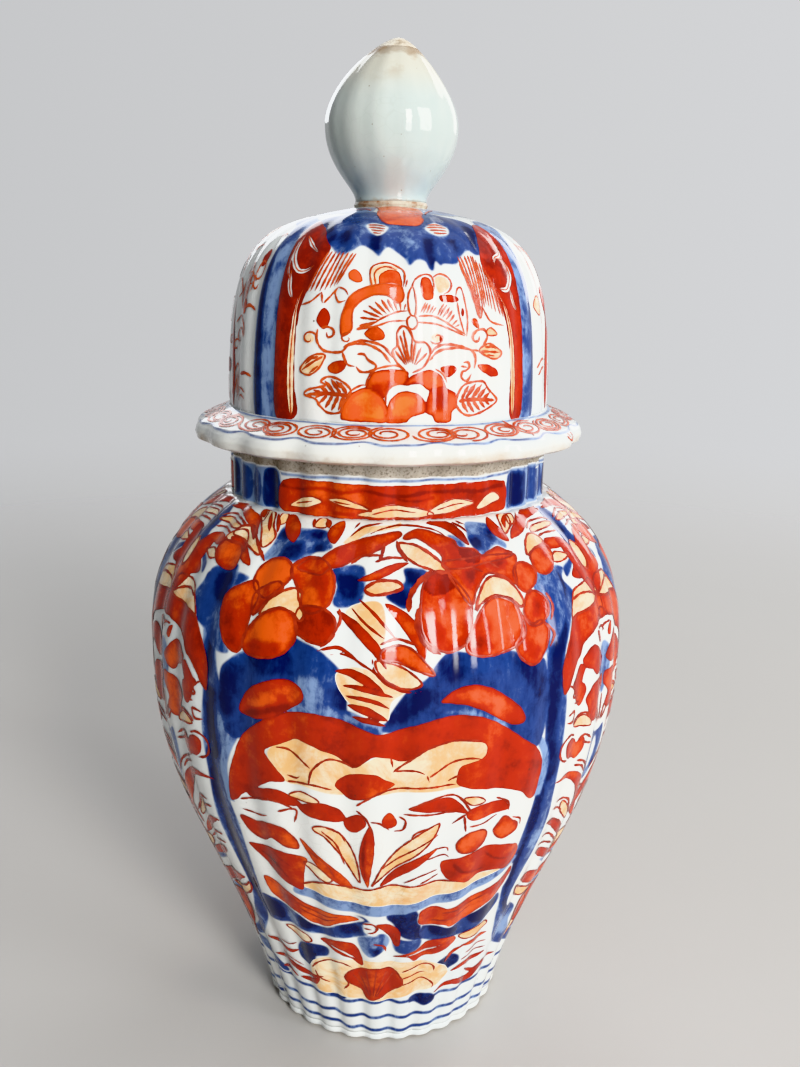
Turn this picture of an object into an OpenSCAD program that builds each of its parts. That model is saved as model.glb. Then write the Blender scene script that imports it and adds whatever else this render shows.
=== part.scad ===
// Ribbed porcelain ginger jar with a lift-off domed lid.
// The origin is the centre of the foot, +Z is up, and the front of the jar faces -Y.

/* [Jar] */
// Radius over the ribs at the foot
foot_r = 39.3; // [36:0.1:42]
// Inside radius of the standing ring under the jar
foot_bore_r = 33.0; // [30:0.1:34.5]
// Height of the standing ring
foot_h = 3; // [2:0.5:5]
// Largest radius over the ribs, at the belly
belly_r = 73.6; // [68:0.1:78]
// Height of the belly
belly_z = 121; // [112:0.5:128]
// Height of the angle where the shoulder meets the neck
shoulder_z = 171.7; // [165:0.1:175]
// Thickness of the jar's wall
wall = 4.6; // [3.5:0.1:6]
// Thickness of the jar's floor
floor_t = 5; // [4:0.5:7]

/* [Neck] */
// Radius over the ribs of the upright neck
neck_r = 48.0; // [46:0.1:50]
// Radius of the mouth
mouth_r = 43.6; // [42:0.1:44]
// Height of the rim that the lid rests on
rim_z = 187.5; // [184:0.1:190]

/* [Lid] */
// Height of the gap that keeps the lid's flange off the rim
seat_gap = 0.3; // [0.2:0.05:0.5]
// Largest radius of the flange, over its scallops
flange_r = 58.6; // [55:0.1:61]
// Height of the dome above the flange's underside
dome_h = 66.8; // [60:0.1:72]
// Radius of the dome where it rises from the flange
dome_r = 48.0; // [46:0.1:50]
// Thickness of the dome's wall
dome_wall = 4.2; // [3.2:0.1:5.5]
// Outside radius of the collar that keeps the lid on the jar
collar_r = 42.4; // [40:0.1:42.5]
// Thickness of the collar
collar_t = 3.2; // [2.4:0.1:4]
// Depth that the collar reaches into the neck
collar_depth = 8; // [5:0.5:12]

/* [Finial] */
// Overall height of the jar and its lid
total_h = 300; // [290:1:310]
// Radius of the bud's foot
stem_r = 10.4; // [8:0.1:12]
// Largest radius of the bud
bud_r = 19.2; // [16:0.1:22]
// Height of the restored tip
tip_h = 3.2; // [2:0.1:4]

/* [Ribs] */
// Number of ribs round the jar, the neck and the dome
ribs = 32; // [24:4:40]
// Depth of the grooves between the jar's ribs
rib_depth = 0.9; // [0.3:0.1:1.2]
// Depth of the grooves between the dome's ribs
dome_rib_depth = 0.5; // [0.2:0.1:0.8]
// Number of scallops round the flange
scallops = 19; // [12:1:24]
// Depth of the notches between the flange's scallops
scallop_depth = 1.2; // [0.4:0.1:2]

/* [Hidden] */

$fn = 96;
rib_points = 4;                      // points along each rib
scallop_points = 8;                  // points along each scallop
rib_turn = 3.75;                     // angle from +X of the first groove
scallop_turn = -0.8;                 // angle from +X of the first notch
recess_h = foot_h + 5;               // height of the hollow under the base
floor_z = recess_h + floor_t;        // top of the jar's floor
lid_z = rim_z + seat_gap;            // underside of the flange
collar_bore = collar_r - collar_t;   // inside radius of the collar
flange_h = 9.6;                      // height of the flange at the dome
flange_top = lid_z + flange_h;
crown_z = lid_z + dome_h;            // top of the dome
seam_h = 1.6;                        // height of the seam under the bud
stem_z = crown_z - 0.6;              // flat on the crown that the seam stands on
bud_z = stem_z + seam_h;             // bottom of the bud
bud_wide_z = bud_z + 20.6;           // height of the bud's largest radius
tip_z = total_h - tip_h;

porcelain = "#e9ebe8";
biscuit = "#b9b1a4";
stain = "#8a5a3c";

// A point on a cubic Bezier curve through four [radius, height] points
function bezier(p, t) =
    pow(1 - t, 3) * p[0] + 3 * pow(1 - t, 2) * t * p[1]
    + 3 * (1 - t) * t * t * p[2] + pow(t, 3) * p[3];

function curve(p, steps, first = 0) = [for (i = [first:steps]) bezier(p, i / steps)];

// The same outline moved inwards by t, along its normals
function inset(o, t) = [
    for (i = [0:len(o) - 1])
        let (d = o[min(i + 1, len(o) - 1)] - o[max(i - 1, 0)])
        [o[i][0] - t * d[1] / norm(d), o[i][1] + t * d[0] / norm(d)]
];

function reverse(v) = [for (i = [len(v) - 1:-1:0]) v[i]];

function every_second(v) = [for (i = [0:2:len(v) - 1]) v[i]];

// Outside of the jar, from the top of the foot to the shoulder
jar_outside = concat(
    curve([[foot_r, foot_h], [foot_r + 12.4, belly_z * 0.459],
           [belly_r, belly_z * 0.648], [belly_r, belly_z]], 13),
    curve([[belly_r, belly_z], [belly_r, belly_z + 15.5],
           [belly_r + 0.4, shoulder_z - 15.9], [neck_r + 2, shoulder_z]], 9, 1));

// Outside of the dome, from the flange to the flat that the finial stands on
dome_outside = curve([[dome_r, flange_top], [dome_r, flange_top + 49.3],
                      [dome_r - 9.4, crown_z - 5.9], [stem_r + 0.2, stem_z]], 13);

// A ring of points with count lobes, pulled in by depth at the groove between two lobes
function lobed(r, z, depth, count, first, points) = [
    for (i = [0:count * points - 1])
        let (a = 360 * i / (count * points),
             q = r - depth * pow(abs(cos(count / 2 * a)), 3))
        [q * cos(a + first), q * sin(a + first), z]
];

function ribbed(r, z, depth) = lobed(r, z, depth, ribs, rib_turn, rib_points);

function scalloped(r, z, depth) = lobed(r, z, depth, scallops, scallop_turn, scallop_points);

// A closed skin over a stack of rings, with a flat face on the first and the last
module skin(rings) {
    n = len(rings[0]);
    sides = [
        for (k = [0:len(rings) - 2]) for (i = [0:n - 1])
            let (a = k * n + i, b = k * n + (i + 1) % n)
            each [[a, a + n, b], [b, a + n, b + n]]
    ];
    last = (len(rings) - 1) * n;
    polyhedron(points = [for (r = rings) each r],
               faces = concat([[for (i = [0:n - 1]) i]], sides,
                              [[for (i = [n - 1:-1:0]) last + i]]));
}

// A closed skin over a stack of rings that joins back to the first ring
module ring_skin(rings) {
    n = len(rings[0]);
    m = len(rings);
    polyhedron(points = [for (r = rings) each r],
               faces = [
                   for (k = [0:m - 1]) for (i = [0:n - 1])
                       let (a = k * n + i, b = k * n + (i + 1) % n,
                            c = ((k + 1) % m) * n + i, d = ((k + 1) % m) * n + (i + 1) % n)
                       each [[a, c, b], [b, c, d]]
               ]);
}

function flat(ring) = [for (p = ring) [p[0], p[1]]];

// The standing ring, with an unglazed flat face underneath
module foot_ring() {
    color(biscuit)
    difference() {
        linear_extrude(height = foot_h) polygon(flat(ribbed(foot_r, 0, rib_depth)));
        translate([0, 0, -1]) cylinder(h = foot_h + 2, r = foot_bore_r);
    }
}

// The hollow ribbed body, from the top of the foot to the root of the neck
module jar_body() {
    inside = every_second([
        for (p = reverse(inset(jar_outside, wall))) if (p[1] > floor_z + 3 && p[1] < shoulder_z - 3) p
    ]);
    low = inside[len(inside) - 1];
    color(porcelain)
    skin(concat(
        [ribbed(foot_bore_r - 3, recess_h, 0), ribbed(foot_bore_r, foot_h, 0)],
        [for (p = jar_outside) ribbed(p[0], p[1], rib_depth)],
        [ribbed(mouth_r, shoulder_z, 0)],
        [for (p = inside) ribbed(p[0], p[1], 0)],
        [ribbed(low[0] - 4, floor_z, 0)]
    ));
}

// The upright ribbed neck, which ends in a bare rim
module neck_ring() {
    color(porcelain)
    translate([0, 0, shoulder_z])
    difference() {
        linear_extrude(height = rim_z - shoulder_z) polygon(flat(ribbed(neck_r, 0, rib_depth)));
        translate([0, 0, -1]) cylinder(h = rim_z, r = mouth_r);
    }
}

// The plain collar under the lid, which drops into the mouth
module lid_collar() {
    low = lid_z - collar_depth;
    color(biscuit)
    rotate_extrude()
        polygon([[collar_bore, lid_z], [collar_bore + 0.4, low + 0.8], [collar_bore + 1, low],
                 [collar_r - 1, low], [collar_r - 0.4, low + 0.8], [collar_r, lid_z]]);
}

// The scalloped flange, which slopes up to the dome and hides the rim
module lid_flange() {
    // Radius, height above the underside, and share of the scallops' depth
    outline = [[collar_bore, 0, 0], [flange_r - 2.4, 0, 0.7], [flange_r - 0.6, 0.8, 1],
               [flange_r, 2.8, 1], [flange_r - 0.5, 4.6, 1], [flange_r - 1.8, 5.9, 0.7],
               [flange_r - 6, 7.8, 0.25], [dome_r, flange_h, 0], [dome_r - dome_wall, flange_h, 0],
               [collar_bore, flange_h / 2, 0]];
    color(porcelain)
    ring_skin([for (p = outline) scalloped(p[0], lid_z + p[1], scallop_depth * p[2])]);
}

// The hollow ribbed dome
module lid_dome() {
    last = len(dome_outside) - 1;
    inside = every_second([
        for (p = inset(dome_outside, dome_wall)) if (p[1] > flange_top + 2 && p[0] > stem_r + 3) p
    ]);
    color(porcelain)
    skin(concat(
        [for (i = [last:-1:0])
            ribbed(dome_outside[i][0], dome_outside[i][1], dome_rib_depth * min(1, (last - i) / 5))],
        [ribbed(dome_r - dome_wall, flange_top, 0)],
        [for (p = inside) ribbed(p[0], p[1], 0)],
        [ribbed(stem_r, stem_z - dome_wall, 0)]
    ));
}

// The stained seam where the finial is stuck to the crown
module finial_seam() {
    color(stain)
    translate([0, 0, stem_z])
    rotate_extrude()
        polygon([[0, 0], [stem_r, 0], [stem_r + 0.35, seam_h / 2], [stem_r, seam_h], [0, seam_h]]);
}

// Half of the bud's outline, from its foot to its point
bud_outline = concat(
    [[0, bud_z]],
    curve([[stem_r, bud_z], [stem_r - 0.7, bud_z + 3.8], [bud_r, bud_wide_z - 11.5],
           [bud_r, bud_wide_z]], 12),
    curve([[bud_r, bud_wide_z], [bud_r, bud_wide_z + 10.7], [4.5, total_h], [0, total_h]], 16, 1));

// The bud between two heights
module bud_between(low, high) {
    rotate_extrude()
        intersection() {
            polygon(bud_outline);
            translate([0, low]) square([bud_r + 1, high - low]);
        }
}

// The solid bud-shaped finial
module finial_bud() {
    color(porcelain) bud_between(bud_z, tip_z);
}

// The restored point of the bud
module finial_tip() {
    color(biscuit) bud_between(tip_z, total_h);
}

foot_ring();
jar_body();
neck_ring();
lid_collar();
lid_flange();
lid_dome();
finial_seam();
finial_bud();
finial_tip();
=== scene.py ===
"""A ribbed porcelain ginger jar, painted in blue, iron red and cream, with a lift-off domed lid."""
import math

import bpy
import numpy as np
from mathutils import Matrix, Vector


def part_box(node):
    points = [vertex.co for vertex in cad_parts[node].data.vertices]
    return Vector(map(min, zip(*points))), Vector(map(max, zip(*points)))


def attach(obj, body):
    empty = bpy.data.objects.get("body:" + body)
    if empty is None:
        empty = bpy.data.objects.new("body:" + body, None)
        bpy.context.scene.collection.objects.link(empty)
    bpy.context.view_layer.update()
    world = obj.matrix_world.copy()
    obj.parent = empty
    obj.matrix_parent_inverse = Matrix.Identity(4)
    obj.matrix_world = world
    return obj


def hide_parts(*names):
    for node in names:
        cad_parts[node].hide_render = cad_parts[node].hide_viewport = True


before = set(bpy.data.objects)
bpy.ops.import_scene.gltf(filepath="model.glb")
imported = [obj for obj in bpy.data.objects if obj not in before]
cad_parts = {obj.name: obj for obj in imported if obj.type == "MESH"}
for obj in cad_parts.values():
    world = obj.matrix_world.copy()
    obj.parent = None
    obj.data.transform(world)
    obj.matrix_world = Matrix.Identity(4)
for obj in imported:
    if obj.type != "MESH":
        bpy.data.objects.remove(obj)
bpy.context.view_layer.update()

MM = 0.001

# ---------------------------------------------------------------- camera

CAMERA_AT = Vector((4.1, -309.7, 234.1)) * MM
CAMERA_PITCH = math.radians(14.12)
CAMERA_ROLL = math.radians(0.86)
CAMERA_LENS = 34.08     # mm


def make_camera():
    right = Vector((1, 0, 0))
    ahead = Vector((0, math.cos(CAMERA_PITCH), -math.sin(CAMERA_PITCH)))
    up = right.cross(ahead)
    rolled_right = right * math.cos(CAMERA_ROLL) + up * math.sin(CAMERA_ROLL)
    rolled_up = up * math.cos(CAMERA_ROLL) - right * math.sin(CAMERA_ROLL)
    camera = bpy.data.objects.new("camera", bpy.data.cameras.new("camera"))
    camera.data.lens = CAMERA_LENS
    camera.data.sensor_width = 36
    camera.data.clip_start = 0.01
    turn = Matrix((rolled_right, rolled_up, -ahead)).transposed()
    camera.matrix_world = Matrix.Translation(CAMERA_AT) @ turn.to_4x4()
    bpy.context.scene.collection.objects.link(camera)
    bpy.context.scene.camera = camera


make_camera()

# ---------------------------------------------------------------- shape of the pot, in mm

RIBS = 32
SCALLOPS = 19
FIRST_RIB = 3.75        # angle of the first groove between ribs
FIRST_SCALLOP = -5.5    # angle of the first notch in the flange


def heights(node):
    """The lowest and the highest point of a CAD node, in mm."""
    return [corner[2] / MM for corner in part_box(node)]


FOOT_TOP = heights("foot_ring")[1]
BODY_BASE, SHOULDER_Z = heights("jar_body")
RIM_Z = heights("neck_ring")[1]
LID_Z, FLANGE_TOP = heights("lid_flange")
STEM_Z = heights("lid_dome")[1]
BUD_BASE = heights("finial_bud")[0]
TIP_BASE, TIP_TOP = heights("finial_tip")

FOOT_R = 39.3
BELLY_R = 73.6
BELLY_Z = 121.0
NECK_R = 48.0
MOUTH_R = 43.6
FLANGE_R = 58.6
COLLAR_BORE = 39.2
FOOT_BORE = 33.0
FLOOR_Z = BODY_BASE + 10
FLOOR_T = 5
POLE = 0.02             # radius of the tiny ring in the middle of a floor or a top
DOME_R = 48.0
STEM_R = 10.4
BUD_R = 19.2
BUD_RIBS = 14
WALL = 4.6
DOME_WALL = 4.2
RIB_DEPTH = 0.9
DOME_RIB_DEPTH = 0.5
DOME_RIB_FADE = 32      # how far below its top the dome's ribs begin to fade out
SCALLOP_DEPTH = 1.2
AROUND = 384            # points round a ribbed ring


def bezier(p0, p1, p2, p3, steps=40):
    t = np.linspace(0, 1, steps + 1)[:, None]
    p0, p1, p2, p3 = (np.array(p, float) for p in (p0, p1, p2, p3))
    return (1 - t) ** 3 * p0 + 3 * (1 - t) ** 2 * t * p1 + 3 * (1 - t) * t * t * p2 + t ** 3 * p3


def joined(*parts):
    return np.vstack([parts[0]] + [p[1:] for p in parts[1:]])


def lengths(p):
    """How far along a path each of its points lies."""
    return np.concatenate([[0], np.cumsum(np.hypot(*np.diff(p, axis=0).T))])


def sideways(p):
    """The unit vector to the left of a path at each of its points."""
    d = np.gradient(p, axis=0)
    d /= np.maximum(np.linalg.norm(d, axis=1, keepdims=True), 1e-9)
    return np.stack([-d[:, 1], d[:, 0]], -1)


JAR_OUTLINE = joined(
    np.array([[FOOT_R, 0.0], [FOOT_R, FOOT_TOP]]),
    bezier((FOOT_R, FOOT_TOP), (FOOT_R + 12.4, BELLY_Z * 0.459), (BELLY_R, BELLY_Z * 0.648),
           (BELLY_R, BELLY_Z)),
    bezier((BELLY_R, BELLY_Z), (BELLY_R, BELLY_Z + 15.5), (BELLY_R + 0.4, SHOULDER_Z - 15.9),
           (NECK_R + 2, SHOULDER_Z)))
DOME_OUTLINE = bezier((DOME_R, FLANGE_TOP), (DOME_R, FLANGE_TOP + 49.3), (DOME_R - 9.4, STEM_Z - 5.3),
                      (STEM_R + 0.2, STEM_Z))
NECK_OUTLINE = np.array([[NECK_R, SHOULDER_Z], [NECK_R, RIM_Z]])
FLANGE_OUTLINE = np.array([[FLANGE_R - 2.4, LID_Z], [FLANGE_R - 0.6, LID_Z + 0.8], [FLANGE_R, LID_Z + 2.8],
                           [FLANGE_R - 0.5, LID_Z + 4.6], [FLANGE_R - 1.8, LID_Z + 5.9],
                           [FLANGE_R - 6, LID_Z + 7.8], [DOME_R, FLANGE_TOP]])


class Surface:
    """A ribbed surface of revolution. A place on it is an angle, 0 at the front and growing to the
    right, in degrees, and a distance up its outline, in mm."""

    def __init__(self, outline, depth, count=RIBS, first=FIRST_RIB):
        self.outline = np.array(outline, float)
        self.arc = lengths(self.outline)
        self.length = self.arc[-1]
        self.depth = depth
        self.count = count
        self.first = first

    def radius(self, s):
        return np.interp(s, self.arc, self.outline[:, 0])

    def height(self, s):
        return np.interp(s, self.arc, self.outline[:, 1])

    def per_degree(self, s):
        """Millimetres round the surface for one degree."""
        return self.radius(s) * math.pi / 180

    def rib_depth(self, s):
        return self.depth(s) if callable(self.depth) else self.depth + 0 * s

    def radius_at(self, angle, s):
        turn = np.radians(self.count / 2 * (angle - self.first))
        return self.radius(s) - self.rib_depth(s) * np.abs(np.cos(turn)) ** 3

    def place(self, angle, s):
        r = self.radius_at(angle, s)
        a = np.radians(angle)
        return np.stack([r * np.sin(a), -r * np.cos(a), self.height(s)], -1)

    def points(self, angle, s, lift=0.0):
        """Places in mm, lifted off the surface along its normal."""
        step = 0.05
        low, high = np.maximum(s - step, 0), np.minimum(s + step, self.length)
        along_a = self.place(angle + step, s) - self.place(angle - step, s)
        along_s = self.place(angle, high) - self.place(angle, low)
        normal = np.cross(along_a, along_s)
        normal /= np.maximum(np.linalg.norm(normal, axis=-1, keepdims=True), 1e-9)
        return self.place(angle, s) + normal * np.asarray(lift)[..., None]

    def rings(self, angles, heights):
        """Whole rings of points, each at one distance up the outline."""
        return [self.points(angles, np.full(len(angles), s)) for s in heights]


def fading(depth, surface_length, start):
    """A rib depth that fades out from start to the end of the outline."""
    return lambda s: depth * np.clip((surface_length - s) / (surface_length - start), 0, 1)


jar = Surface(JAR_OUTLINE, RIB_DEPTH)
neck = Surface(NECK_OUTLINE, RIB_DEPTH)
dome = Surface(DOME_OUTLINE, DOME_RIB_DEPTH)
dome.depth = fading(DOME_RIB_DEPTH, dome.length, dome.length - DOME_RIB_FADE)
flange = Surface(FLANGE_OUTLINE, SCALLOP_DEPTH, SCALLOPS, FIRST_SCALLOP)
flange_share = np.array([0.7, 1, 1, 1, 0.7, 0.25, 0])       # how deep the notches are, lip to dome
flange.depth = lambda s: SCALLOP_DEPTH * np.interp(s, flange.arc, flange_share)

# ---------------------------------------------------------------- meshes


def mesh_object(name, verts, faces, attributes=None):
    """A smooth-shaded object from points in mm, triangles or quads, and one float per point."""
    mesh = bpy.data.meshes.new(name)
    verts = np.asarray(verts, float) * MM
    faces = np.asarray(faces, np.int32)
    sides = faces.shape[1]
    mesh.vertices.add(len(verts))
    mesh.vertices.foreach_set("co", verts.ravel())
    mesh.loops.add(faces.size)
    mesh.loops.foreach_set("vertex_index", faces.ravel())
    mesh.polygons.add(len(faces))
    mesh.polygons.foreach_set("loop_start", np.arange(0, faces.size, sides, dtype=np.int32))
    mesh.polygons.foreach_set("loop_total", np.full(len(faces), sides, np.int32))
    mesh.polygons.foreach_set("use_smooth", np.ones(len(faces), bool))
    for key, values in (attributes or {}).items():
        mesh.attributes.new(key, "FLOAT", "POINT").data.foreach_set("value", np.asarray(values, np.float32))
    mesh.update(calc_edges=True)
    mesh.validate()
    thing = bpy.data.objects.new(name, mesh)
    bpy.context.scene.collection.objects.link(thing)
    return thing


def dress(thing, material):
    thing.data.materials.clear()
    thing.data.materials.append(material)


def add_piece(thing, body, slot, material, *nodes):
    """Gives a piece its material and its body, and hides the CAD nodes that it stands for. Its slot is not
    used.
    """
    dress(thing, material)
    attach(thing, body)
    if nodes:
        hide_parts(*nodes)


def ring_faces(rows, around, closed=False):
    """Quads between rings of points; closed joins the last ring to the first."""
    k = np.arange(rows if closed else rows - 1)[:, None]
    i = np.arange(around)[None, :]
    low, high, after = k * around, (k + 1) % rows * around, (i + 1) % around
    return np.stack([low + i, low + after, high + after, high + i], -1).reshape(-1, 4)


def full_turn(around):
    return np.arange(around) * 360 / around


def ring(r, z, angles):
    """A ring of points, without ribs where r is one number."""
    a = np.radians(angles)
    return np.stack([r * np.sin(a), -r * np.cos(a), np.full(len(a), float(z))], -1)


def inset(outline, t):
    """The outline moved inwards by t along its normals."""
    return outline + t * sideways(outline)


def shell(name, outer, rows, around, inner):
    """A pot wall: ribbed outside rows of one surface, then plain rings given as (radius, height)."""
    angles = full_turn(around)
    rings = outer.rings(angles, rows) + [ring(r, z, angles) for r, z in inner]
    return mesh_object(name, np.vstack(rings), ring_faces(len(rings), around, closed=True))


# ---------------------------------------------------------------- material nodes

PORCELAIN = (0.73, 0.745, 0.725)


class Nodes:
    """Short calls that add and link shader nodes."""

    def __init__(self, name):
        self.material = bpy.data.materials.new(name)
        self.material.use_nodes = True
        self.tree = self.material.node_tree
        self.shader = self.tree.nodes["Principled BSDF"]
        self.where = self.add("ShaderNodeTexCoord").outputs["Object"]

    def add(self, kind, **values):
        node = self.tree.nodes.new(kind)
        for key, value in values.items():
            if key in node.inputs:
                self.put(node.inputs[key], value)
            else:
                setattr(node, key, value)
        return node

    def put(self, socket, value):
        if isinstance(value, bpy.types.NodeSocket):
            self.tree.links.new(value, socket)
        elif isinstance(value, tuple) and len(value) == 3 and socket.type == "RGBA":
            socket.default_value = (*value, 1)
        else:
            socket.default_value = value

    def attribute(self, name):
        return self.add("ShaderNodeAttribute", attribute_name=name).outputs["Fac"]

    def fed(self, kind, inputs, **values):
        """A node with its inputs set by name or number."""
        node = self.add(kind, **values)
        for key, value in inputs.items():
            self.put(node.inputs[key], value)
        return node

    def ramp(self, value, low, high, to_low=0.0, to_high=1.0):
        """A smooth step from to_low, where value is low, to to_high, where it is high."""
        return self.fed("ShaderNodeMapRange", {"Value": value, "From Min": low, "From Max": high,
                                               "To Min": to_low, "To Max": to_high},
                        interpolation_type="SMOOTHSTEP").outputs["Result"]

    def noise(self, scale, detail=4.0, rough=0.5, stretch=None, swirl=0.0):
        where = self.where
        if stretch:
            where = self.add("ShaderNodeMapping", Vector=where, Scale=stretch).outputs["Vector"]
        return self.add("ShaderNodeTexNoise", Vector=where, Scale=scale, Detail=detail,
                        Roughness=rough, Distortion=swirl).outputs["Fac"]

    def dots(self, scale, size):
        """1 in small round spots, 0 elsewhere."""
        cells = self.add("ShaderNodeTexVoronoi", Vector=self.where, Scale=scale)
        return self.ramp(cells.outputs["Distance"], size * 0.6, size, 1.0, 0.0)

    def mix(self, share, a, b):
        return self.fed("ShaderNodeMix", {0: share, 6: a, 7: b}, data_type="RGBA").outputs[2]

    def math(self, operation, a, b=0.0):
        return self.fed("ShaderNodeMath", {0: a, 1: b}, operation=operation).outputs[0]

    def times(self, a, b):
        return self.math("MULTIPLY", a, b)

    def height(self):
        return self.add("ShaderNodeSeparateXYZ", Vector=self.where).outputs["Z"]

    def ragged(self, value, swing, noise, low=0.3, high=0.7):
        """A value made uneven by a noise, by up to swing both ways."""
        return self.math("ADD", value, self.ramp(noise, low, high, -swing, swing))

    def bump(self, height, strength, distance=0.0002):
        return self.add("ShaderNodeBump", Height=height, Strength=strength,
                        Distance=distance).outputs["Normal"]

    def finish(self, color, roughness, normal=None, **values):
        self.put(self.shader.inputs["Base Color"], color)
        self.put(self.shader.inputs["Roughness"], roughness)
        if normal is not None:
            self.put(self.shader.inputs["Normal"], normal)
        for key, value in values.items():
            self.put(self.shader.inputs[key.replace("_", " ")], value)
        return self.material


def porcelain_color(n):
    """The glaze's own white: faintly blue-grey, uneven, with a few dark specks."""
    drift = n.noise(14.0, 3.0)
    color = n.mix(n.ramp(drift, 0.35, 0.7), PORCELAIN, (0.64, 0.68, 0.69))
    warm = n.ramp(n.noise(34.0, 3.0), 0.62, 0.8, 0.0, 0.22)
    color = n.mix(warm, color, (0.70, 0.63, 0.50))
    color = n.mix(n.times(crackle(n), 0.14), color, (0.36, 0.30, 0.24))
    speck = n.times(n.dots(210.0, 0.07), n.ramp(n.noise(30.0), 0.55, 0.62))
    return n.mix(speck, color, (0.16, 0.13, 0.10))


def crackle(n):
    """1 along the fine cracks of the glaze, in patches."""
    cells = n.add("ShaderNodeTexVoronoi", feature="DISTANCE_TO_EDGE", Vector=n.where, Scale=260.0)
    near = n.ramp(cells.outputs["Distance"], 0.0, 0.04, 1.0, 0.0)
    return n.times(near, n.ramp(n.noise(22.0, 2.0), 0.46, 0.6))


def glaze_bump(n, strength=0.22):
    """Slow ripples and fine orange peel in the glaze."""
    ripple = n.times(n.noise(55.0, 2.0), 1.6)
    peel = n.times(n.noise(420.0, 2.0), 0.25)
    return n.bump(n.math("ADD", ripple, peel), strength, 0.0003)


def porcelain_material():
    n = Nodes("porcelain_glaze")
    rough = n.ramp(n.noise(90.0), 0.3, 0.8, 0.08, 0.2)
    return n.finish(porcelain_color(n), rough, glaze_bump(n))


def bare_clay_material():
    n = Nodes("bare_clay")
    color = n.mix(n.ramp(n.noise(70.0), 0.3, 0.7), (0.50, 0.46, 0.39), (0.36, 0.32, 0.26))
    grit = n.ramp(n.noise(900.0, 2.0), 0.56, 0.64)
    color = n.mix(grit, color, (0.12, 0.09, 0.07))
    return n.finish(color, 0.85, n.bump(n.noise(700.0, 3.0), 0.6, 0.0004))


def cobalt_material():
    """Blue under the glaze: a thin wash with brush streaks and dark pools, which fades out at its edge."""
    n = Nodes("cobalt_blue")
    tone = n.attribute("tone")
    streak = n.noise(75.0, 5.0, 0.65, stretch=(1.0, 1.0, 0.5), swirl=1.2)
    mottle = n.noise(260.0, 6.0, 0.75, swirl=0.6)
    hairs = n.noise(480.0, 3.0, 0.6, stretch=(1.0, 1.0, 0.3))
    for noise, swing in ((streak, 0.18), (mottle, 0.11), (hairs, 0.11)):
        tone = n.ragged(tone, swing, noise)
    rim = n.ramp(n.attribute("edge"), -0.9, -0.1, 0.0, -0.16)
    tone = n.math("ADD", tone, rim)
    color = n.mix(n.ramp(tone, 0.0, 0.45), (0.19, 0.28, 0.47), (0.020, 0.046, 0.185))
    color = n.mix(n.ramp(tone, 0.42, 0.98), color, (0.002, 0.0045, 0.055))
    fade = n.ramp(n.attribute("edge"), -0.35, 0.42)
    color = n.mix(fade, color, porcelain_color(n))
    rough = n.ramp(n.noise(90.0), 0.3, 0.8, 0.08, 0.2)
    return n.finish(color, rough, glaze_bump(n, 0.18), Specular_IOR_Level=0.42)


def cream_material():
    """Pale gilding worn to cream, laid thinly and unevenly, with rusty stains and fine crackle."""
    n = Nodes("cream_wash")
    patch = n.ramp(n.noise(95.0, 6.0, 0.7, swirl=0.5), 0.38, 0.62)
    color = n.mix(patch, (0.80, 0.50, 0.21), (0.86, 0.76, 0.56))
    stain = n.ramp(n.noise(52.0, 6.0, 0.7, swirl=0.6), 0.52, 0.70, 0.0, 0.7)
    color = n.mix(stain, color, (0.74, 0.36, 0.12))
    color = n.mix(n.times(crackle(n), 0.4), color, (0.34, 0.20, 0.10))
    fade = n.ramp(n.attribute("edge"), -0.25, 0.2)
    color = n.mix(fade, color, porcelain_color(n))
    return n.finish(color, n.ramp(patch, 0.0, 1.0, 0.26, 0.14), glaze_bump(n, 0.3))


def red_material():
    """Iron-red enamel: thick and blotchy, darker where it pools, with pinholes and gritty patches."""
    n = Nodes("iron_red")
    tone = n.attribute("tone")
    streak = n.noise(90.0, 5.0, 0.6, stretch=(1.0, 1.0, 0.35))
    tone = n.ragged(tone, 0.2, streak)
    tone = n.ragged(tone, 0.12, n.noise(38.0, 3.0))
    tone = n.ragged(tone, 0.17, n.noise(210.0, 6.0, 0.7), 0.34, 0.66)
    color = n.mix(n.ramp(tone, -0.05, 0.5), (0.66, 0.092, 0.010), (0.35, 0.017, 0.003))
    color = n.mix(n.ramp(tone, 0.5, 1.0), color, (0.18, 0.008, 0.003))
    color = n.mix(n.ramp(tone, -0.6, -0.25), (0.78, 0.19, 0.012), color)
    pool = n.ramp(n.attribute("edge"), -0.45, -0.1, 0.0, 0.5)
    color = n.mix(pool, color, (0.20, 0.012, 0.006))
    pin = n.times(n.dots(330.0, 0.11), n.ramp(n.noise(45.0), 0.56, 0.66))
    color = n.mix(pin, color, (0.10, 0.02, 0.01))
    grit = n.times(n.noise(900.0, 2.0), n.ramp(n.noise(52.0, 3.0), 0.5, 0.66, 0.2, 1.6))
    height = n.math("ADD", n.times(streak, 0.8), grit)
    rough = n.ramp(n.noise(160.0), 0.3, 0.75, 0.06, 0.17)
    return n.finish(color, rough, n.bump(height, 0.22, 0.0002), Specular_IOR_Level=0.5)


def line_material(name, thick, thin):
    """The red of the drawn lines, paler where the brush ran dry."""
    n = Nodes(name)
    dry = n.ramp(n.noise(260.0, 4.0, 0.6), 0.35, 0.75)
    return n.finish(n.mix(dry, thick, thin), 0.25, n.bump(n.noise(600.0, 2.0), 0.25, 0.0002))


def floor_material():
    """Pale and plain, and fading into the light behind it with distance."""
    n = Nodes("floor")
    color = n.mix(n.noise(3.0, 3.0), (0.46, 0.45, 0.435), (0.50, 0.49, 0.475))
    far = n.add("ShaderNodeVectorMath", operation="LENGTH")
    n.put(far.inputs[0], n.where)
    n.put(n.shader.inputs["Alpha"], n.ramp(far.outputs["Value"], 0.2, 1.3, 1.0, 0.0))
    return n.finish(color, 0.9, Specular_IOR_Level=0.1)


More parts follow.
